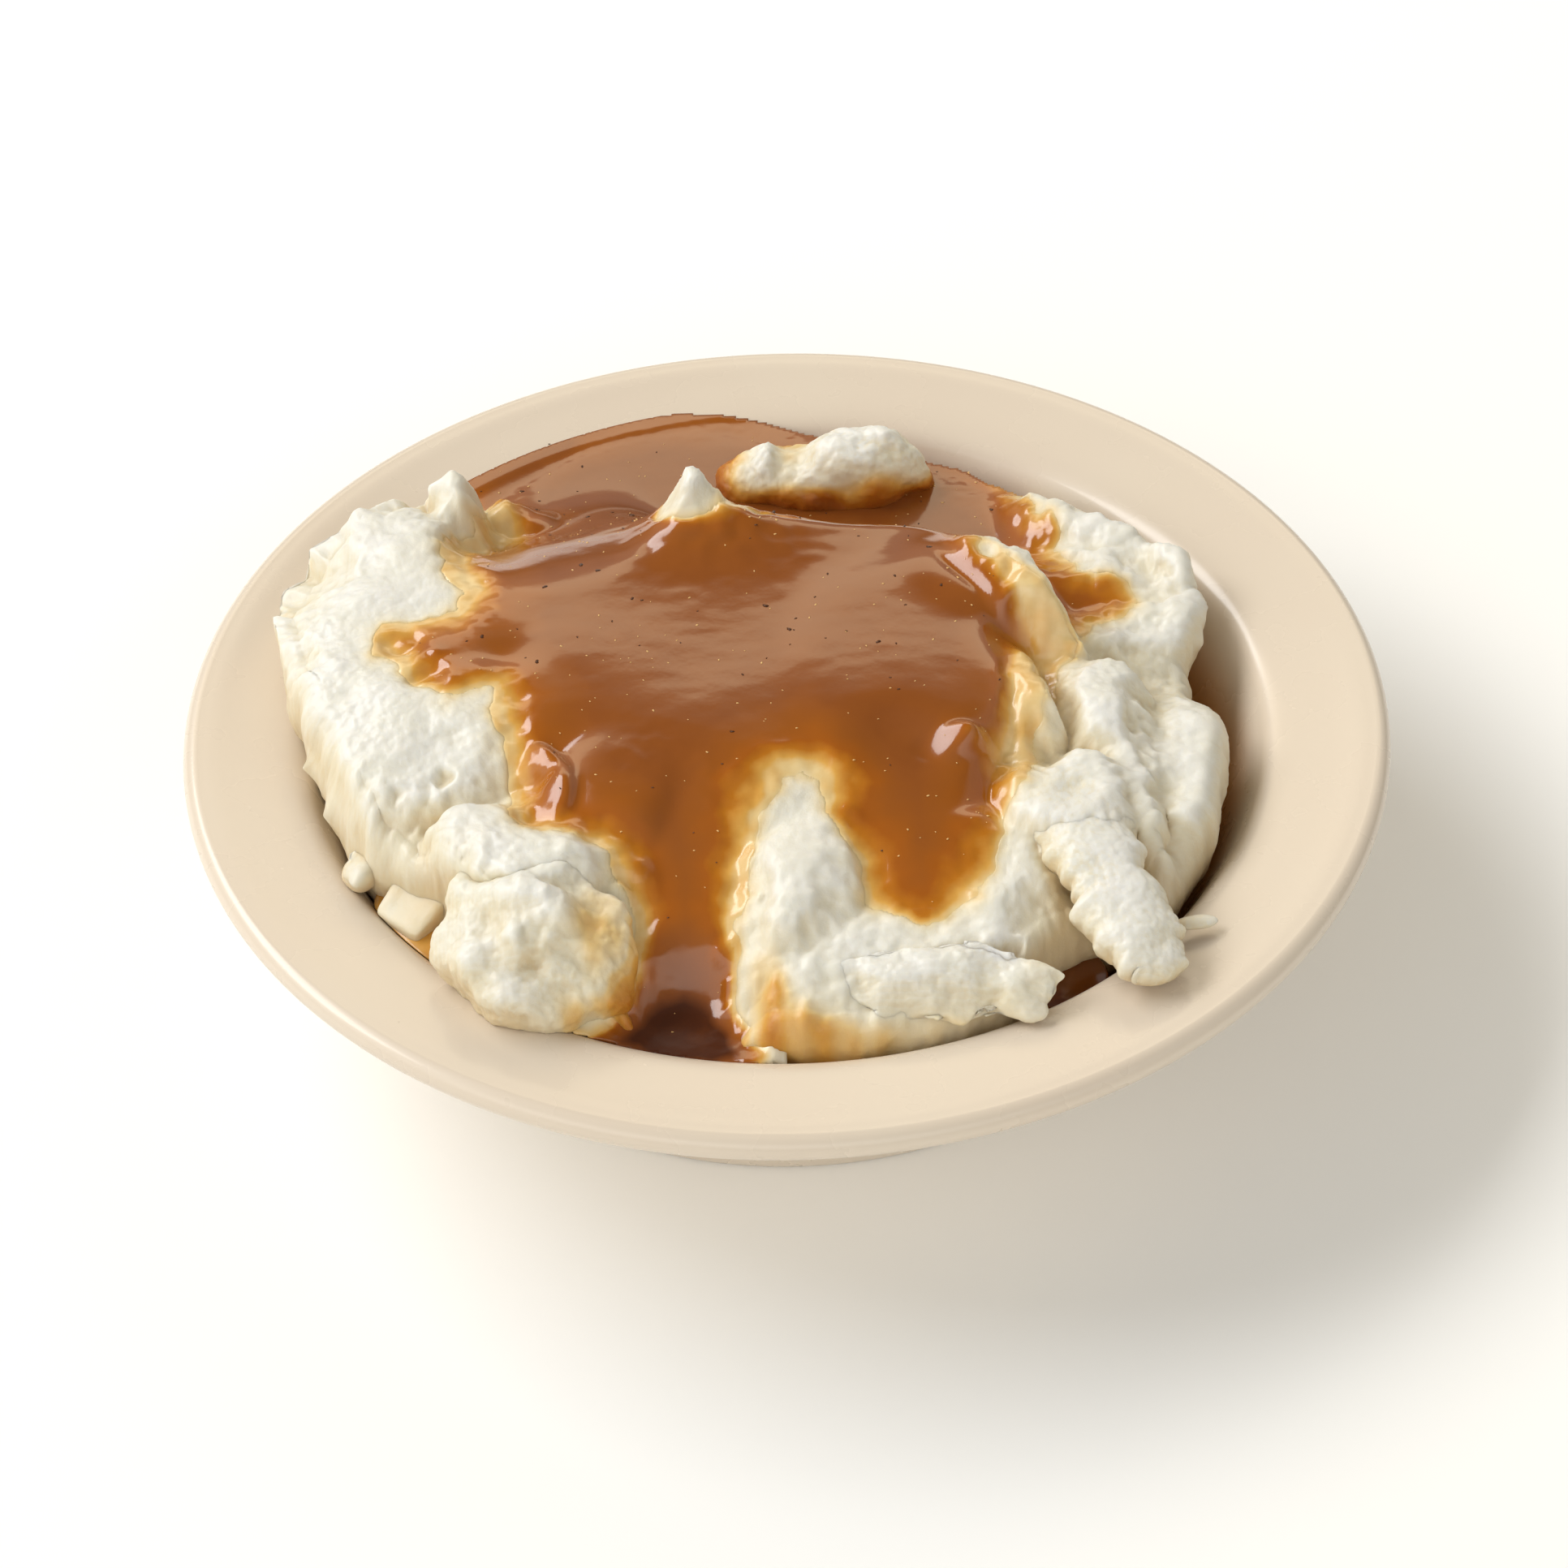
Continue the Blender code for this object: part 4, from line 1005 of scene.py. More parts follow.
class MashLooks(bpy.types.PropertyGroup):
    cells: bpy.props.IntProperty(
        name="Cells", description="Grid lines across each mound", default=300, min=40
    )
    mash_light: colour_property("Light mash", "Lighter tone of the mash, as sRGB hex", "#DDDCD7")
    mash_shade: colour_property("Shaded mash", "Darker tone of the mash, as sRGB hex", "#DAD8CD")
    # The two crease tints are painted warm shade, laid on by how sheltered the mash is.
    crease_shade_tint: colour_property("Crease", "Tint in the creases of the mash, as sRGB hex", "#FBF3E0")
    deep_crease_shade_tint: colour_property("Deep crease", "Tint in the deepest creases, as sRGB hex", "#F6E2BE")


class GravyLooks(bpy.types.PropertyGroup):
    cells: bpy.props.IntProperty(name="Cells", description="Grid lines across the gravy", default=300, min=40)
    dark_flecks: bpy.props.IntProperty(
        name="Flecks", description="Dark flecks drawn over the gravy", default=170, min=1
    )
    pale_specks: bpy.props.IntProperty(
        name="Specks", description="Pale specks drawn over the gravy", default=520, min=1
    )


class StageLooks(bpy.types.PropertyGroup):
    floor_colour: colour_property("Floor", "Tone of the floor, as sRGB hex", "#F6F6F4")
    key: bpy.props.FloatProperty(
        name="Softbox", description="Power of the large softbox", default=32.0, min=0, unit="POWER"
    )
    panel: bpy.props.FloatProperty(
        name="Panel", description="Power of the low panel behind the dish", default=2.6, min=0, unit="POWER"
    )
    walls: bpy.props.FloatProperty(
        name="Walls", description="Strength of the walls on the camera's side", default=1.95, min=0
    )
    far_walls: bpy.props.FloatProperty(
        name="Far walls", description="Strength of the walls behind the dish", default=0.6, min=0
    )


# ---------------------------------------------------------------- pieces

# The rounding of the rim's outer lip.
LIP_RADIUS = 1.4


def dish_profile():
    """Radius and height from the middle of the underside out, round the lip and in to the well's floor."""
    turns = np.radians(np.linspace(-62, 100, 22))
    out, up = DISH_RADIUS - LIP_RADIUS, RIM_TOP - LIP_RADIUS
    around = [(out + LIP_RADIUS * np.cos(turn), up + LIP_RADIUS * np.sin(turn)) for turn in turns]
    outside = [
        (0, 1.2), (20, 1.2), (35.0, 1.2), (35.9, 1.05), (36.3, 0.5), (36.6, 0.12), (37.1, 0.0), (38.6, 0.0),
        (39.2, 0.12), (39.5, 0.5), (40.0, 1.7), (40.6, 3.2), (44.6, 10.9), (48.0, 17.6), (48.9, 19.0),
        (50.2, 20.2), (52.0, 21.0), (54.5, 21.5), (57.6, 22.05), (58.6, 22.3),
    ]
    inside = [
        (57.6, 25.24), (55.7, 24.95), (53.0, 24.62), (51.2, 24.40), (50.0, 24.22), (49.2, 24.02),
        (48.5, 23.68), (48.0, 23.25), (47.6, 22.7), (47.1, 21.9), (46.4, 20.5), (44.6, 16.6),
        (42.6, 12.4), (41.4, 10.0), (40.2, 8.0), (38.7, 6.3), (36.8, 4.9), (34.4, 3.9), (31.0, 3.45),
        (26.0, 3.4), (12, 3.4), (0, 3.4),
    ]
    return np.array(outside + around + inside)


def eased_rows(profile, steps):
    """Rows of numbers with each stretch split along a curve whose slopes follow the chord lengths."""
    padded = np.vstack([2 * profile[0] - profile[1], profile, 2 * profile[-1] - profile[-2]])
    before, here, after, last = (padded[k : len(profile) - 1 + k, None, :] for k in range(4))
    share = np.linspace(0, 1, steps, endpoint=False)[None, :, None]
    length = np.linalg.norm(after - here, axis=-1, keepdims=True)
    length_before = np.linalg.norm(here - before, axis=-1, keepdims=True)
    length_after = np.linalg.norm(last - after, axis=-1, keepdims=True)
    slope_here = (after - before) / (length_before + length) * length
    slope_after = (last - here) / (length_after + length) * length
    curve = (
        (2 * share**3 - 3 * share**2 + 1) * here
        + (share**3 - 2 * share**2 + share) * slope_here
        + (3 * share**2 - 2 * share**3) * after
        + (share**3 - share**2) * slope_after
    )
    return np.vstack([curve.reshape(-1, profile.shape[1]), profile[-1:]])


class MASH_OT_dish(bpy.types.Operator):
    """Builds the melamine dish: one profile, from axis to axis, carried round the Z axis"""

    bl_idname = "mash.dish"
    bl_label = "Dish"

    def execute(self, context):
        looks = context.scene.dish_looks
        profile = eased_rows(dish_profile(), 2)
        profile[:, 0] = np.maximum(profile[:, 0], 0)
        turn = np.linspace(0, 2 * np.pi, looks.segments, endpoint=False)
        points = np.stack(
            [
                profile[:, :1] * np.cos(turn),
                profile[:, :1] * np.sin(turn),
                np.repeat(profile[:, 1:], looks.segments, axis=1),
            ],
            axis=-1,
        )
        tube_object("dish_moulding", points, melamine_material(looks), "melamine", "dish")
        return {"FINISHED"}


# The seam between the two mounds lies under the thick gravy, from the front pool up the left stream to
# the back pool: x, y and the height where each mound is widest.
LEFT_SEAM = (
    (-9, -40, 18), (-10, -30, 20), (-10, -14, 22), (-11, 0, 24), (-17, 11, 24), (-18.5, 24, 24),
    (-17, 34, 20),
)
RIGHT_SEAM = (
    (10, 38, 20), (0, 33, 20), (-12, 29, 22), (-16.5, 21, 24), (-15, 11, 24), (-13, 0, 24),
    (-12.5, -24, 22),
)


class MASH_OT_heap(bpy.types.Operator):
    """Builds the heap of mash as two mounds that meet under the gravy"""

    bl_idname = "mash.heap"
    bl_label = "Heap"

    def execute(self, context):
        looks = context.scene.mash_looks
        finish = mash_material(looks)
        left = np.vstack([edge_knots(112, 256), LEFT_SEAM])
        right = np.vstack([edge_knots(-104, 66), RIGHT_SEAM])
        mash_patch("mash_left", left, (-29, -2), looks.cells, finish, "mash_heap")
        mash_patch("mash_right", right, (15, -6), looks.cells, finish, "mash_heap")
        return {"FINISHED"}


# Lobes of the spoonfuls: the direction that each swells towards, how wide it is and how much it swells.
BALL_LOBES = (
    (-0.7, 0.5, 0.6, 0.10, 0.14), (0.2, 0.6, 0.8, 0.08, 0.12), (0.8, -0.5, -0.3, 0.10, 0.16),
    (-0.3, -0.9, 0.1, 0.08, 0.10), (-0.9, -0.2, -0.1, 0.06, 0.10), (0.85, 0.1, 0.5, 0.05, 0.10),
)
SHELF_LOBES = (
    (-0.6, -0.8, 0.0, 0.02, -0.2), (-0.38, -0.92, 0.0, 0.025, 0.34), (-0.08, -1.0, 0.0, 0.018, -0.2),
    (0.18, -1.0, 0.0, 0.02, 0.2), (0.4, -0.9, 0.0, 0.018, -0.24), (0.68, -0.72, 0.0, 0.02, 0.26),
    (0.97, 0.2, 0.0, 0.012, 0.1), (0.99, -0.12, 0.0, 0.006, -0.1), (0.3, 0.95, 0.0, 0.03, 0.15),
)
CRUMB_LOBES = (
    (0.8, 0.4, 0.4, 0.08, 0.6), (-0.7, -0.5, 0.3, 0.07, 0.5), (0.0, 0.5, 0.8, 0.05, 0.3),
    (0.2, -0.9, 0.1, 0.08, -0.35),
)
# How high the back lump's top stands along its length, from -1 to 1, as a share of its half height.
RIDGE_CREST = (
    (-1, 0.6), (-0.8, 0.8), (-0.58, 0.98), (-0.42, 0.68), (-0.2, 0.84), (0.1, 1.02), (0.45, 1.3),
    (0.65, 1.42), (0.85, 1.2), (1, 0.9),
)
CRUMB_CELLS = (60, 80)


class MASH_OT_spoonfuls(bpy.types.Operator):
    """Builds the spoonfuls that lie apart from the heap, each a ball drawn out and roughened"""

    bl_idname = "mash.spoonfuls"
    bl_label = "Spoonfuls"

    def execute(self, context):
        finish = bpy.data.materials["boiled_potato_mash"]
        mash_lump(
            "mash_ball", (-24.0, -35.6, 27.4), (9.0, 8.2, 6.0), -10, 6, 1.25, (240, 320), finish,
            "mash_front_lump", lobes=BALL_LOBES,
        )
        mash_lump(
            "mash_ridge", (5.0, 37.8, 24.8), (11.2, 4.5, 5.7), -3, 0, 0.9, (220, 280), finish,
            "mash_back_lump", crest=RIDGE_CREST, bathed=True,
        )
        mash_lump(
            "mash_ledge", (14.0, -41.2, 26.9), (10.6, 2.9, 1.5), -3, 34, 0.9, (220, 260), finish,
            "mash_shelf", lobes=SHELF_LOBES,
        )
        mash_lump(
            "potato_chip", (-36.2, -26.4, 24.3), (3.1, 3.0, 1.2), -42, 24, 0.3, CRUMB_CELLS, finish,
            "mash_chip", boxy=0.3,
        )
        mash_lump(
            "crumb_left", (-41.6, -21.4, 24.9), (2.3, 1.4, 1.1), 60, 0, 1.3, CRUMB_CELLS, finish,
            "mash_crumb_left", boxy=0.75, lobes=CRUMB_LOBES,
        )
        mash_lump(
            "crumb_right", (38.6, -32.6, 25.6), (2.2, 1.0, 0.6), 8, 0, 0.25, CRUMB_CELLS, finish,
            "mash_crumb_right",
        )
        return {"FINISHED"}


# The roll of mash over the rim: x, y, z, half width, half thickness.
STRAND = (
    (26.0, -13.5, 26.6, 4.0, 1.8),
    (26.4, -18.0, 28.2, 5.2, 2.5),
    (27.6, -23.0, 29.6, 5.0, 2.7),
    (29.2, -27.8, 29.9, 4.3, 2.6),
    (30.5, -31.2, 29.2, 3.9, 2.5),
    (31.6, -34.6, 28.4, 4.3, 2.4),
    (33.2, -37.8, 27.6, 4.1, 2.3),
    (34.6, -40.0, 27.0, 3.2, 1.9),
    (35.2, -41.4, 26.8, 2.1, 1.4),
)


class MASH_OT_roll(bpy.types.Operator):
    """Builds the roll of mash that hangs over the rim: an oval carried along its path, each of its two
    sides with scallops of its own"""

    bl_idname = "mash.roll"
    bl_label = "Roll"

    def execute(self, context):
        rows, columns = 280, 220
        knots = np.array(STRAND)
        route = eased_rows(knots, 12)
        places = np.linspace(0, len(route) - 1, rows)
        middle = np.stack([np.interp(places, np.arange(len(route)), route[:, k]) for k in range(5)], axis=1)
        heading = np.gradient(middle[:, :2], axis=0)
        heading /= np.linalg.norm(heading, axis=1)[:, None]
        side = np.stack([-heading[:, 1], heading[:, 0], np.zeros(rows)], axis=1)
        rounding = np.sqrt(np.clip(1 - np.abs(np.linspace(-1, 1, rows)) ** 8, 0, 1))
        around = np.linspace(0, 2 * np.pi, columns, endpoint=False)
        flank = np.stack([places * 0.42, 0 * places, 0 * places], axis=-1)
        right, left = (0.9 * noise(flank, 3.6, 300 + k) + 0.45 * noise(flank, 1.6, 310 + k) for k in range(2))
        reach = np.where(np.cos(around) > 0, right[:, None], left[:, None]) * np.abs(np.cos(around)) ** 0.5
        wide = ((middle[:, 3:4] + reach) * rounding[:, None])[..., None] * np.cos(around)[None, :, None]
        thick = (middle[:, 4] * rounding)[:, None, None] * np.sin(around)[None, :, None]
        points = middle[:, None, :3] + side[:, None, :] * wide + np.array([0, 0, 1.0]) * thick
        points = points[:, ::-1]
        broad, fine = mash_relief(points)
        points = points + ball_normals(points) * (0.8 * broad)[..., None]
        points = points + ball_normals(points) * fine[..., None]
        points = held_by_dish(points)
        finish = bpy.data.materials["boiled_potato_mash"]
        fields = {"gravy": np.full(points.shape[:2], -1.0)}
        tube_object("mash_roll", points, finish, "mash", "mash_strand", fields=fields)
        return {"FINISHED"}


# From and to where the sheet of gravy is laid out.
SHEET_X = (-46.0, 40.0)
SHEET_Y = (-49.0, 52.0)


class MASH_OT_gravy(bpy.types.Operator):
    """Builds the gravy: a sheet over x and y that stands proud of the mash by its thickness and dips
    into it where there is none, closed by an underside and a border"""

    bl_idname = "mash.gravy"
    bl_label = "Gravy"

    def execute(self, context):
        looks = context.scene.gravy_looks
        step = 100.0 / looks.cells
        x, y = np.meshgrid(np.arange(*SHEET_X, step), np.arange(*SHEET_Y, step), indexing="ij")
        height, colour_depth = gravy_surface(x, y)
        skin = held_by_dish(np.stack([x, y, height], axis=-1))
        thick = 0.9 + 1.6 * ease(0.3, 1.5, colour_depth)
        under = held_by_dish(np.stack([x, y, height - thick], axis=-1))
        # At its left the back pool runs on under the mash.
        hidden = (x < HIDDEN_LEFT) & (x > HIDDEN_LEFT - 12) & (y > POOLS_FROM[0] + 6)
        within = ((gravy_depth(x, y) > -SUNK_MARGIN) | hidden) & (np.hypot(x, y) < well_wall(height) + step)
        quads = grid_quads(*x.shape)
        quads = quads[within.ravel()[quads].all(axis=1)]
        points, faces = closed_sheet(skin.reshape(-1, 3), under.reshape(-1, 3), quads)
        depth = np.concatenate([colour_depth.ravel(), colour_depth.ravel()])
        used, faces = np.unique(faces, return_inverse=True)
        sheet = mesh_object("gravy_pour", points[used], faces.reshape(-1, 4), None, {"gravy": depth[used]})
        finished(sheet, gravy_material(), "gravy", "gravy")
        return {"FINISHED"}


def closed_sheet(skin, under, quads):
    """A skin and its underside, with the same cells, joined along every cell side that has one owner."""
    count = len(skin)
    sides = np.stack([quads, np.roll(quads, -1, axis=1)], axis=-1).reshape(-1, 2)
    key = np.sort(sides, axis=1)
    _, index, owners = np.unique(key[:, 0] * count + key[:, 1], return_inverse=True, return_counts=True)
    border = sides[owners[index.ravel()] == 1]
    wall = np.stack([border[:, 1], border[:, 0], border[:, 0] + count, border[:, 1] + count], axis=1)
    return np.vstack([skin, under]), np.vstack([quads, quads[:, ::-1] + count, wall])


# How many points each grain's ring has, and the box that grains are drawn over: x, y, width, depth.
GRAIN_RING = 8
SPRINKLED = (-42, -44, 76, 90)


def grain_points(x, y, height, size, turn, flatness):
    """Each grain's ring of eight, uneven by cos(2a) and cos(3a) of its own turn, then its top and its tip."""
    around = np.linspace(0, 2 * np.pi, GRAIN_RING, endpoint=False)
    swing = turn[:, None]
    uneven = 1 + 0.35 * np.cos(2 * around[None, :] + swing) + 0.15 * np.cos(3 * around[None, :] - swing)
    ring_x = x[:, None] + size[:, None] * uneven * np.cos(around)
    ring_y = y[:, None] + size[:, None] * uneven * np.sin(around)
    ring = np.stack([ring_x, ring_y, np.repeat(height[:, None] + 0.02, GRAIN_RING, axis=1)], axis=-1)
    tips = [np.stack([x, y, height + rise * size * flatness], axis=-1)[:, None] for rise in (0.6, -1.0)]
    return np.concatenate([ring, *tips], axis=1)


def grain_faces(count):
    """The upper and lower eight triangles of each of this many grains."""
    here = np.arange(GRAIN_RING)
    after = (here + 1) % GRAIN_RING
    upper = np.stack([here, after, np.full(GRAIN_RING, GRAIN_RING)], axis=1)
    lower = np.stack([after, here, np.full(GRAIN_RING, GRAIN_RING + 1)], axis=1)
    one = np.vstack([upper, lower])
    return (one[None] + (GRAIN_RING + 2) * np.arange(count)[:, None, None]).reshape(-1, 3)


class MASH_OT_flecks(bpy.types.Operator):
    """Builds the pepper flecks and starch specks in the gravy: small eight-sided grains, each with its
    own size and turn, seated in the gravy's skin and joined into one mesh for each kind"""

    bl_idname = "mash.flecks"
    bl_label = "Flecks"

    def execute(self, context):
        looks = context.scene.gravy_looks
        self.sprinkle("pepper_flecks", looks.dark_flecks, (0.09, 0.27), 0.5, 31, "ground_pepper", "#4E2A12")
        self.sprinkle("starch_specks", looks.pale_specks, (0.07, 0.15), 0.8, 47, "starch_speck", "#E2B878")
        return {"FINISHED"}

    @staticmethod
    def sprinkle(name, count, sizes, flatness, salt, finish, colour):
        """One mesh of grains: drawn over a box, and kept where the gravy is thick."""
        index = np.arange(count)
        draw = [hashed(index, index * 0 + k, index * 0, salt) for k in range(4)]
        left, front, width, depth = SPRINKLED
        x, y = left + width * draw[0], front + depth * draw[1]
        keep = gravy_surface(x, y)[1] > 0.45
        x, y = x[keep], y[keep]
        low, high = sizes
        size = low + (high - low) * draw[2][keep] ** 2.5
        turn = 2 * np.pi * draw[3][keep]
        points = grain_points(x, y, gravy_surface(x, y)[0], size, turn, flatness)
        grains = mesh_object(name, points.reshape(-1, 3), np.zeros((0, 4), int), grain_faces(len(x)))
        finished(grains, grain_material(finish, colour), "gravy")


def grain_material(name, colour):
    """A small grain wetted by the gravy round it: one even colour under a gloss."""
    return principled(name, {"Roughness": 0.3, "IOR": 1.4, "Base Color": linear(colour)})[0]


# From and to which angle they reach, inner and outer radius, bottom, level and depth of colour.
PUDDLES = {
    "gravy_puddle_left": (207, 229, 41.0, 48.2, 18.4, 23.4, 0.25),
    "gravy_puddle_right": (300, 313, 41.6, 47.4, 17.6, 21.4, 2.0),
}


class MASH_OT_puddles(bpy.types.Operator):
    """Builds the gravy that stands in the gaps at the wall: flat sectors with a rolled edge"""

    bl_idname = "mash.puddles"
    bl_label = "Puddles"

    def execute(self, context):
        finish = bpy.data.materials["brown_gravy_starch"]
        unit = lump_surface(40, 120)
        for name, (first, last, inner, outer, bottom, level, deep) in PUDDLES.items():
            middle_turn = np.radians((first + last) / 2)
            middle_radius = (inner + outer) / 2
            half_arc = np.radians(last - first) / 2 * middle_radius
            turn = middle_turn + unit[..., 0] * half_arc / middle_radius
            radius = middle_radius - 1.5 + unit[..., 1] * (outer - inner) * 0.75
            squared = np.sign(unit[..., 2]) * np.abs(unit[..., 2]) ** 0.4
            height = (bottom + level) / 2 + squared * (level - bottom) / 2
            points = held_by_dish(np.stack([radius * np.cos(turn), radius * np.sin(turn), height], axis=-1))
            fields = {"gravy": np.full(points.shape[:2], deep)}
            tube_object(name + "_pool", points, finish, "gravy", name, fields=fields)
        return {"FINISHED"}


# Which pieces are marked, by the start of their names, the height map's cell and half width, how many
# directions are looked in and how far, and the dish's inside, which also shelters: radii and heights.
SHELTERED = ("mash_", "potato_", "crumb_", "gravy_pour")
SHELTER_CELL = 0.4
SHELTER_REACH = 60.0
SHELTER_TURNS = 12
SHELTER_DISTANCES = (0.8, 1.6, 3.2, 6.4)
SHELTER_WALL = ((38.7, 41.7, 46.9, 47.7, 50.2), (6.2, 10.4, 21.9, 23.2, 24.4))


def shelter_cell(plan):
    """Row and column of the height map's cell over each x and y."""
    last = int(round(2 * SHELTER_REACH / SHELTER_CELL)) - 1
    cell = np.clip(((plan + SHELTER_REACH) / SHELTER_CELL).astype(int), 0, last)
    return cell[:, 0], cell[:, 1]


class MASH_OT_shelter(bpy.types.Operator):
    """Marks how sheltered each point of the mash is by what stands round it, for the painted warm shade in
    its creases: the mean, over directions, of the sine of the angle at which its horizon stands"""

    bl_idname = "mash.shelter"
    bl_label = "Creases"

    def execute(self, context):
        pieces = [obj for obj in context.scene.objects if obj.name.startswith(SHELTERED)]
        stored = {}
        for obj in pieces:
            flat = np.empty(len(obj.data.vertices) * 3, np.float32)
            obj.data.vertices.foreach_get("co", flat)
            stored[obj] = flat.reshape(-1, 3).astype(float) / MM
        line = np.arange(-SHELTER_REACH, SHELTER_REACH, SHELTER_CELL)
        x, y = np.meshgrid(line, line, indexing="ij")
        top = np.interp(np.hypot(x, y), *SHELTER_WALL)
        for points in stored.values():
            np.maximum.at(top, shelter_cell(points[:, :2]), points[:, 2])
        for obj, points in stored.items():
            total = 0.0
            for turn in np.linspace(0, 2 * np.pi, SHELTER_TURNS, endpoint=False):
                steepest = 0.0
                for distance in SHELTER_DISTANCES:
                    beside = points[:, :2] + distance * np.array([np.cos(turn), np.sin(turn)])
                    rise = (top[shelter_cell(beside)] - points[:, 2] - 0.15) / distance
                    steepest = np.maximum(steepest, rise)
                total = total + steepest / np.sqrt(1 + steepest**2)
            attribute = obj.data.attributes.new("crease_shade_mask", "FLOAT", "POINT")
            attribute.data.foreach_set("value", (total / SHELTER_TURNS).astype(np.float32))
        return {"FINISHED"}


# ---------------------------------------------------------------- stage

# The camera stands this far from what it looks at, tilted down and rolled by these angles.
CAMERA_AIM = (-0.00036, 0.0, 0.01526)
CAMERA_DISTANCE = 0.484
CAMERA_TILT = 41.87
CAMERA_ROLL = -1.29
CAMERA_LENS = 109.08
FLOOR_HALF = 900.0
# The directions in which the large softbox and the low panel stand.
KEY_DIRECTION = (-0.655, 0.31, 0.69)
PANEL_DIRECTION = (0.0, 0.82, 0.574)
# Which way the brighter walls are, and how far towards it a direction turns from the far walls' light into
# theirs. Then how the light runs from the floor up, by the upward part of a direction: a dim skirting, a
# pale wall and a dark ceiling.
WALL_SIDE = (-0.3, -0.95, 0.0)
WALL_TURNS = (-0.35, 0.85)
WALL_STOPS = ((0.05, "#707070"), (0.36, "#FFFFFF"), (0.66, "#FFFFFF"), (0.76, "#7C7C7C"))


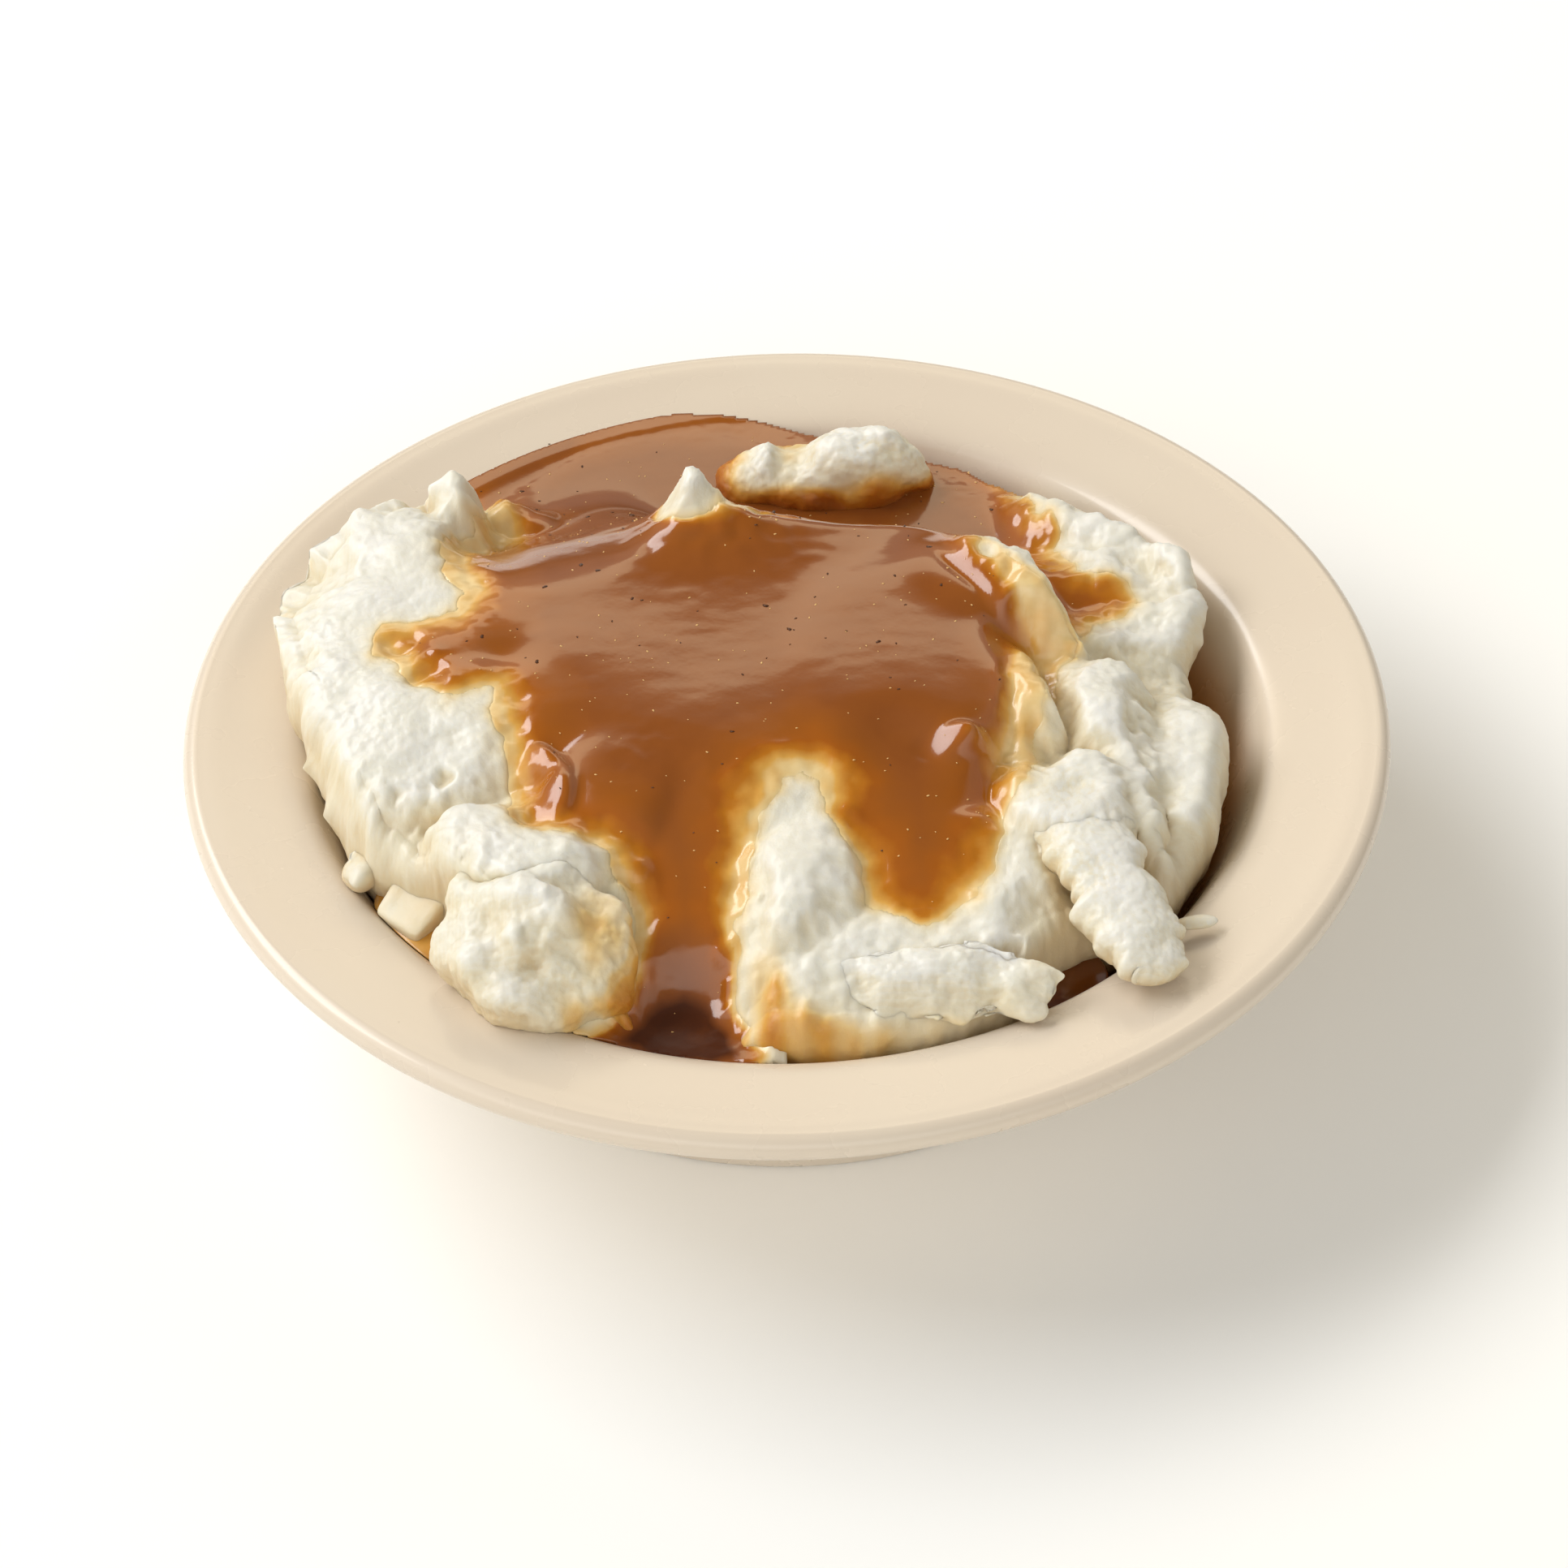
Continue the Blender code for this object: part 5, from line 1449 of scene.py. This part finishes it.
class MASH_OT_stage(bpy.types.Operator):
    """Builds the plain floor, the soft lights and the camera"""

    bl_idname = "mash.stage"
    bl_label = "Stage"

    def execute(self, context):
        scene = context.scene
        looks = scene.stage_looks
        corners = FLOOR_HALF * np.array([(-1, -1, 0), (1, -1, 0), (1, 1, 0), (-1, 1, 0)], float)
        floor = mesh_object("floor", corners, np.array([[0, 1, 2, 3]]))
        paper = {"Roughness": 0.9, "Base Color": linear(looks.floor_colour)}
        floor.data.materials.append(principled("matt_paper_floor", paper)[0])

        self.area("key_softbox", KEY_DIRECTION, 2.0, 1.8, 0.76, looks.key, "#FFFFFF")
        self.area("back_panel", PANEL_DIRECTION, 1.2, 1.3, 0.32, looks.panel, "#FFEABF")
        scene.world = self.walls(looks)

        tilt = np.radians(CAMERA_TILT)
        roll = np.radians(CAMERA_ROLL)
        back = Vector((0, -np.cos(tilt), np.sin(tilt)))
        right = Vector((1, 0, 0))
        up = Vector((0, np.sin(tilt), np.cos(tilt)))
        turned_right = right * np.cos(roll) + up * np.sin(roll)
        turned_up = up * np.cos(roll) - right * np.sin(roll)
        camera = bpy.data.objects.new("camera", bpy.data.cameras.new("camera"))
        camera.data.lens = CAMERA_LENS
        camera.data.sensor_width = 36
        camera.data.clip_start = 0.01
        place = Vector(CAMERA_AIM) + back * CAMERA_DISTANCE
        camera.matrix_world = Matrix(
            [(*[axis[k] for axis in (turned_right, turned_up, back)], place[k]) for k in range(3)]
            + [(0, 0, 0, 1)]
        )
        scene.collection.objects.link(camera)
        scene.camera = camera
        scene.view_settings.view_transform = "Standard"
        return {"FINISHED"}

    @staticmethod
    def walls(looks):
        """A world of pale studio walls up to a dark ceiling: its strength falls with the direction's
        height."""
        world = bpy.data.worlds.new("studio_walls")
        world.use_nodes = True
        tree = world.node_tree
        direction = add(tree, "ShaderNodeTexCoord").outputs["Generated"]
        rise = add(tree, "ShaderNodeSeparateXYZ", {}, {"Vector": direction}).outputs["Z"]
        facing = add(
            tree,
            "ShaderNodeVectorMath",
            {"operation": "DOT_PRODUCT", 1: WALL_SIDE},
            {0: direction},
        ).outputs["Value"]
        far, near = WALL_TURNS
        side = add(
            tree,
            "ShaderNodeMapRange",
            {"From Min": far, "From Max": near, "To Min": looks.far_walls, "To Max": looks.walls},
            {"Value": facing},
        ).outputs["Result"]
        height = ramp(tree, rise, WALL_STOPS)
        strength = add(tree, "ShaderNodeMath", {"operation": "MULTIPLY"}, {0: side, 1: height})
        background = tree.nodes["Background"]
        background.inputs["Color"].default_value = linear("#FFFCF5")
        tree.links.new(strength.outputs["Value"], background.inputs["Strength"])
        return world

    @staticmethod
    def area(name, direction, distance, width, height, power, colour):
        """A rectangular softbox that faces the dish from this direction."""
        lamp = bpy.data.lights.new(name, "AREA")
        lamp.shape = "RECTANGLE"
        lamp.size = width
        lamp.size_y = height
        lamp.energy = power
        lamp.color = linear(colour)[:3]
        obj = bpy.data.objects.new(name, lamp)
        direction = Vector(direction).normalized()
        obj.location = Vector(CAMERA_AIM) + direction * distance
        obj.rotation_euler = direction.to_track_quat("Z", "Y").to_euler()
        bpy.context.scene.collection.objects.link(obj)


# ---------------------------------------------------------------- add-on

class MASH_PT_panel(bpy.types.Panel):
    """Lists the pieces in the sidebar"""

    bl_idname = "MASH_PT_panel"
    bl_label = "Mashed potato side"
    bl_space_type = "VIEW_3D"
    bl_region_type = "UI"
    bl_category = "Mash"

    def draw(self, context):
        for operator in OPERATORS:
            self.layout.operator(operator.bl_idname)


GROUPS = {
    "dish_looks": DishLooks,
    "mash_looks": MashLooks,
    "gravy_looks": GravyLooks,
    "stage_looks": StageLooks,
}
OPERATORS = (
    MASH_OT_dish,
    MASH_OT_heap,
    MASH_OT_spoonfuls,
    MASH_OT_roll,
    MASH_OT_gravy,
    MASH_OT_puddles,
    MASH_OT_flecks,
    MASH_OT_shelter,
    MASH_OT_stage,
)


def register():
    """Adds the settings to the scene, then the operators and the panel."""
    for group in GROUPS.values():
        bpy.utils.register_class(group)
    for name, group in GROUPS.items():
        setattr(bpy.types.Scene, name, bpy.props.PointerProperty(type=group))
    for operator in (*OPERATORS, MASH_PT_panel):
        bpy.utils.register_class(operator)


def unregister():
    """Takes away what register added, in the opposite order."""
    for operator in (MASH_PT_panel, *reversed(OPERATORS)):
        bpy.utils.unregister_class(operator)
    for name, group in GROUPS.items():
        delattr(bpy.types.Scene, name)
        bpy.utils.unregister_class(group)


def main():
    """Builds every piece and the stage in order."""
    register()
    for operator in OPERATORS:
        group, name = operator.bl_idname.split(".")
        getattr(getattr(bpy.ops, group), name)()


if __name__ == "__main__":
    main()
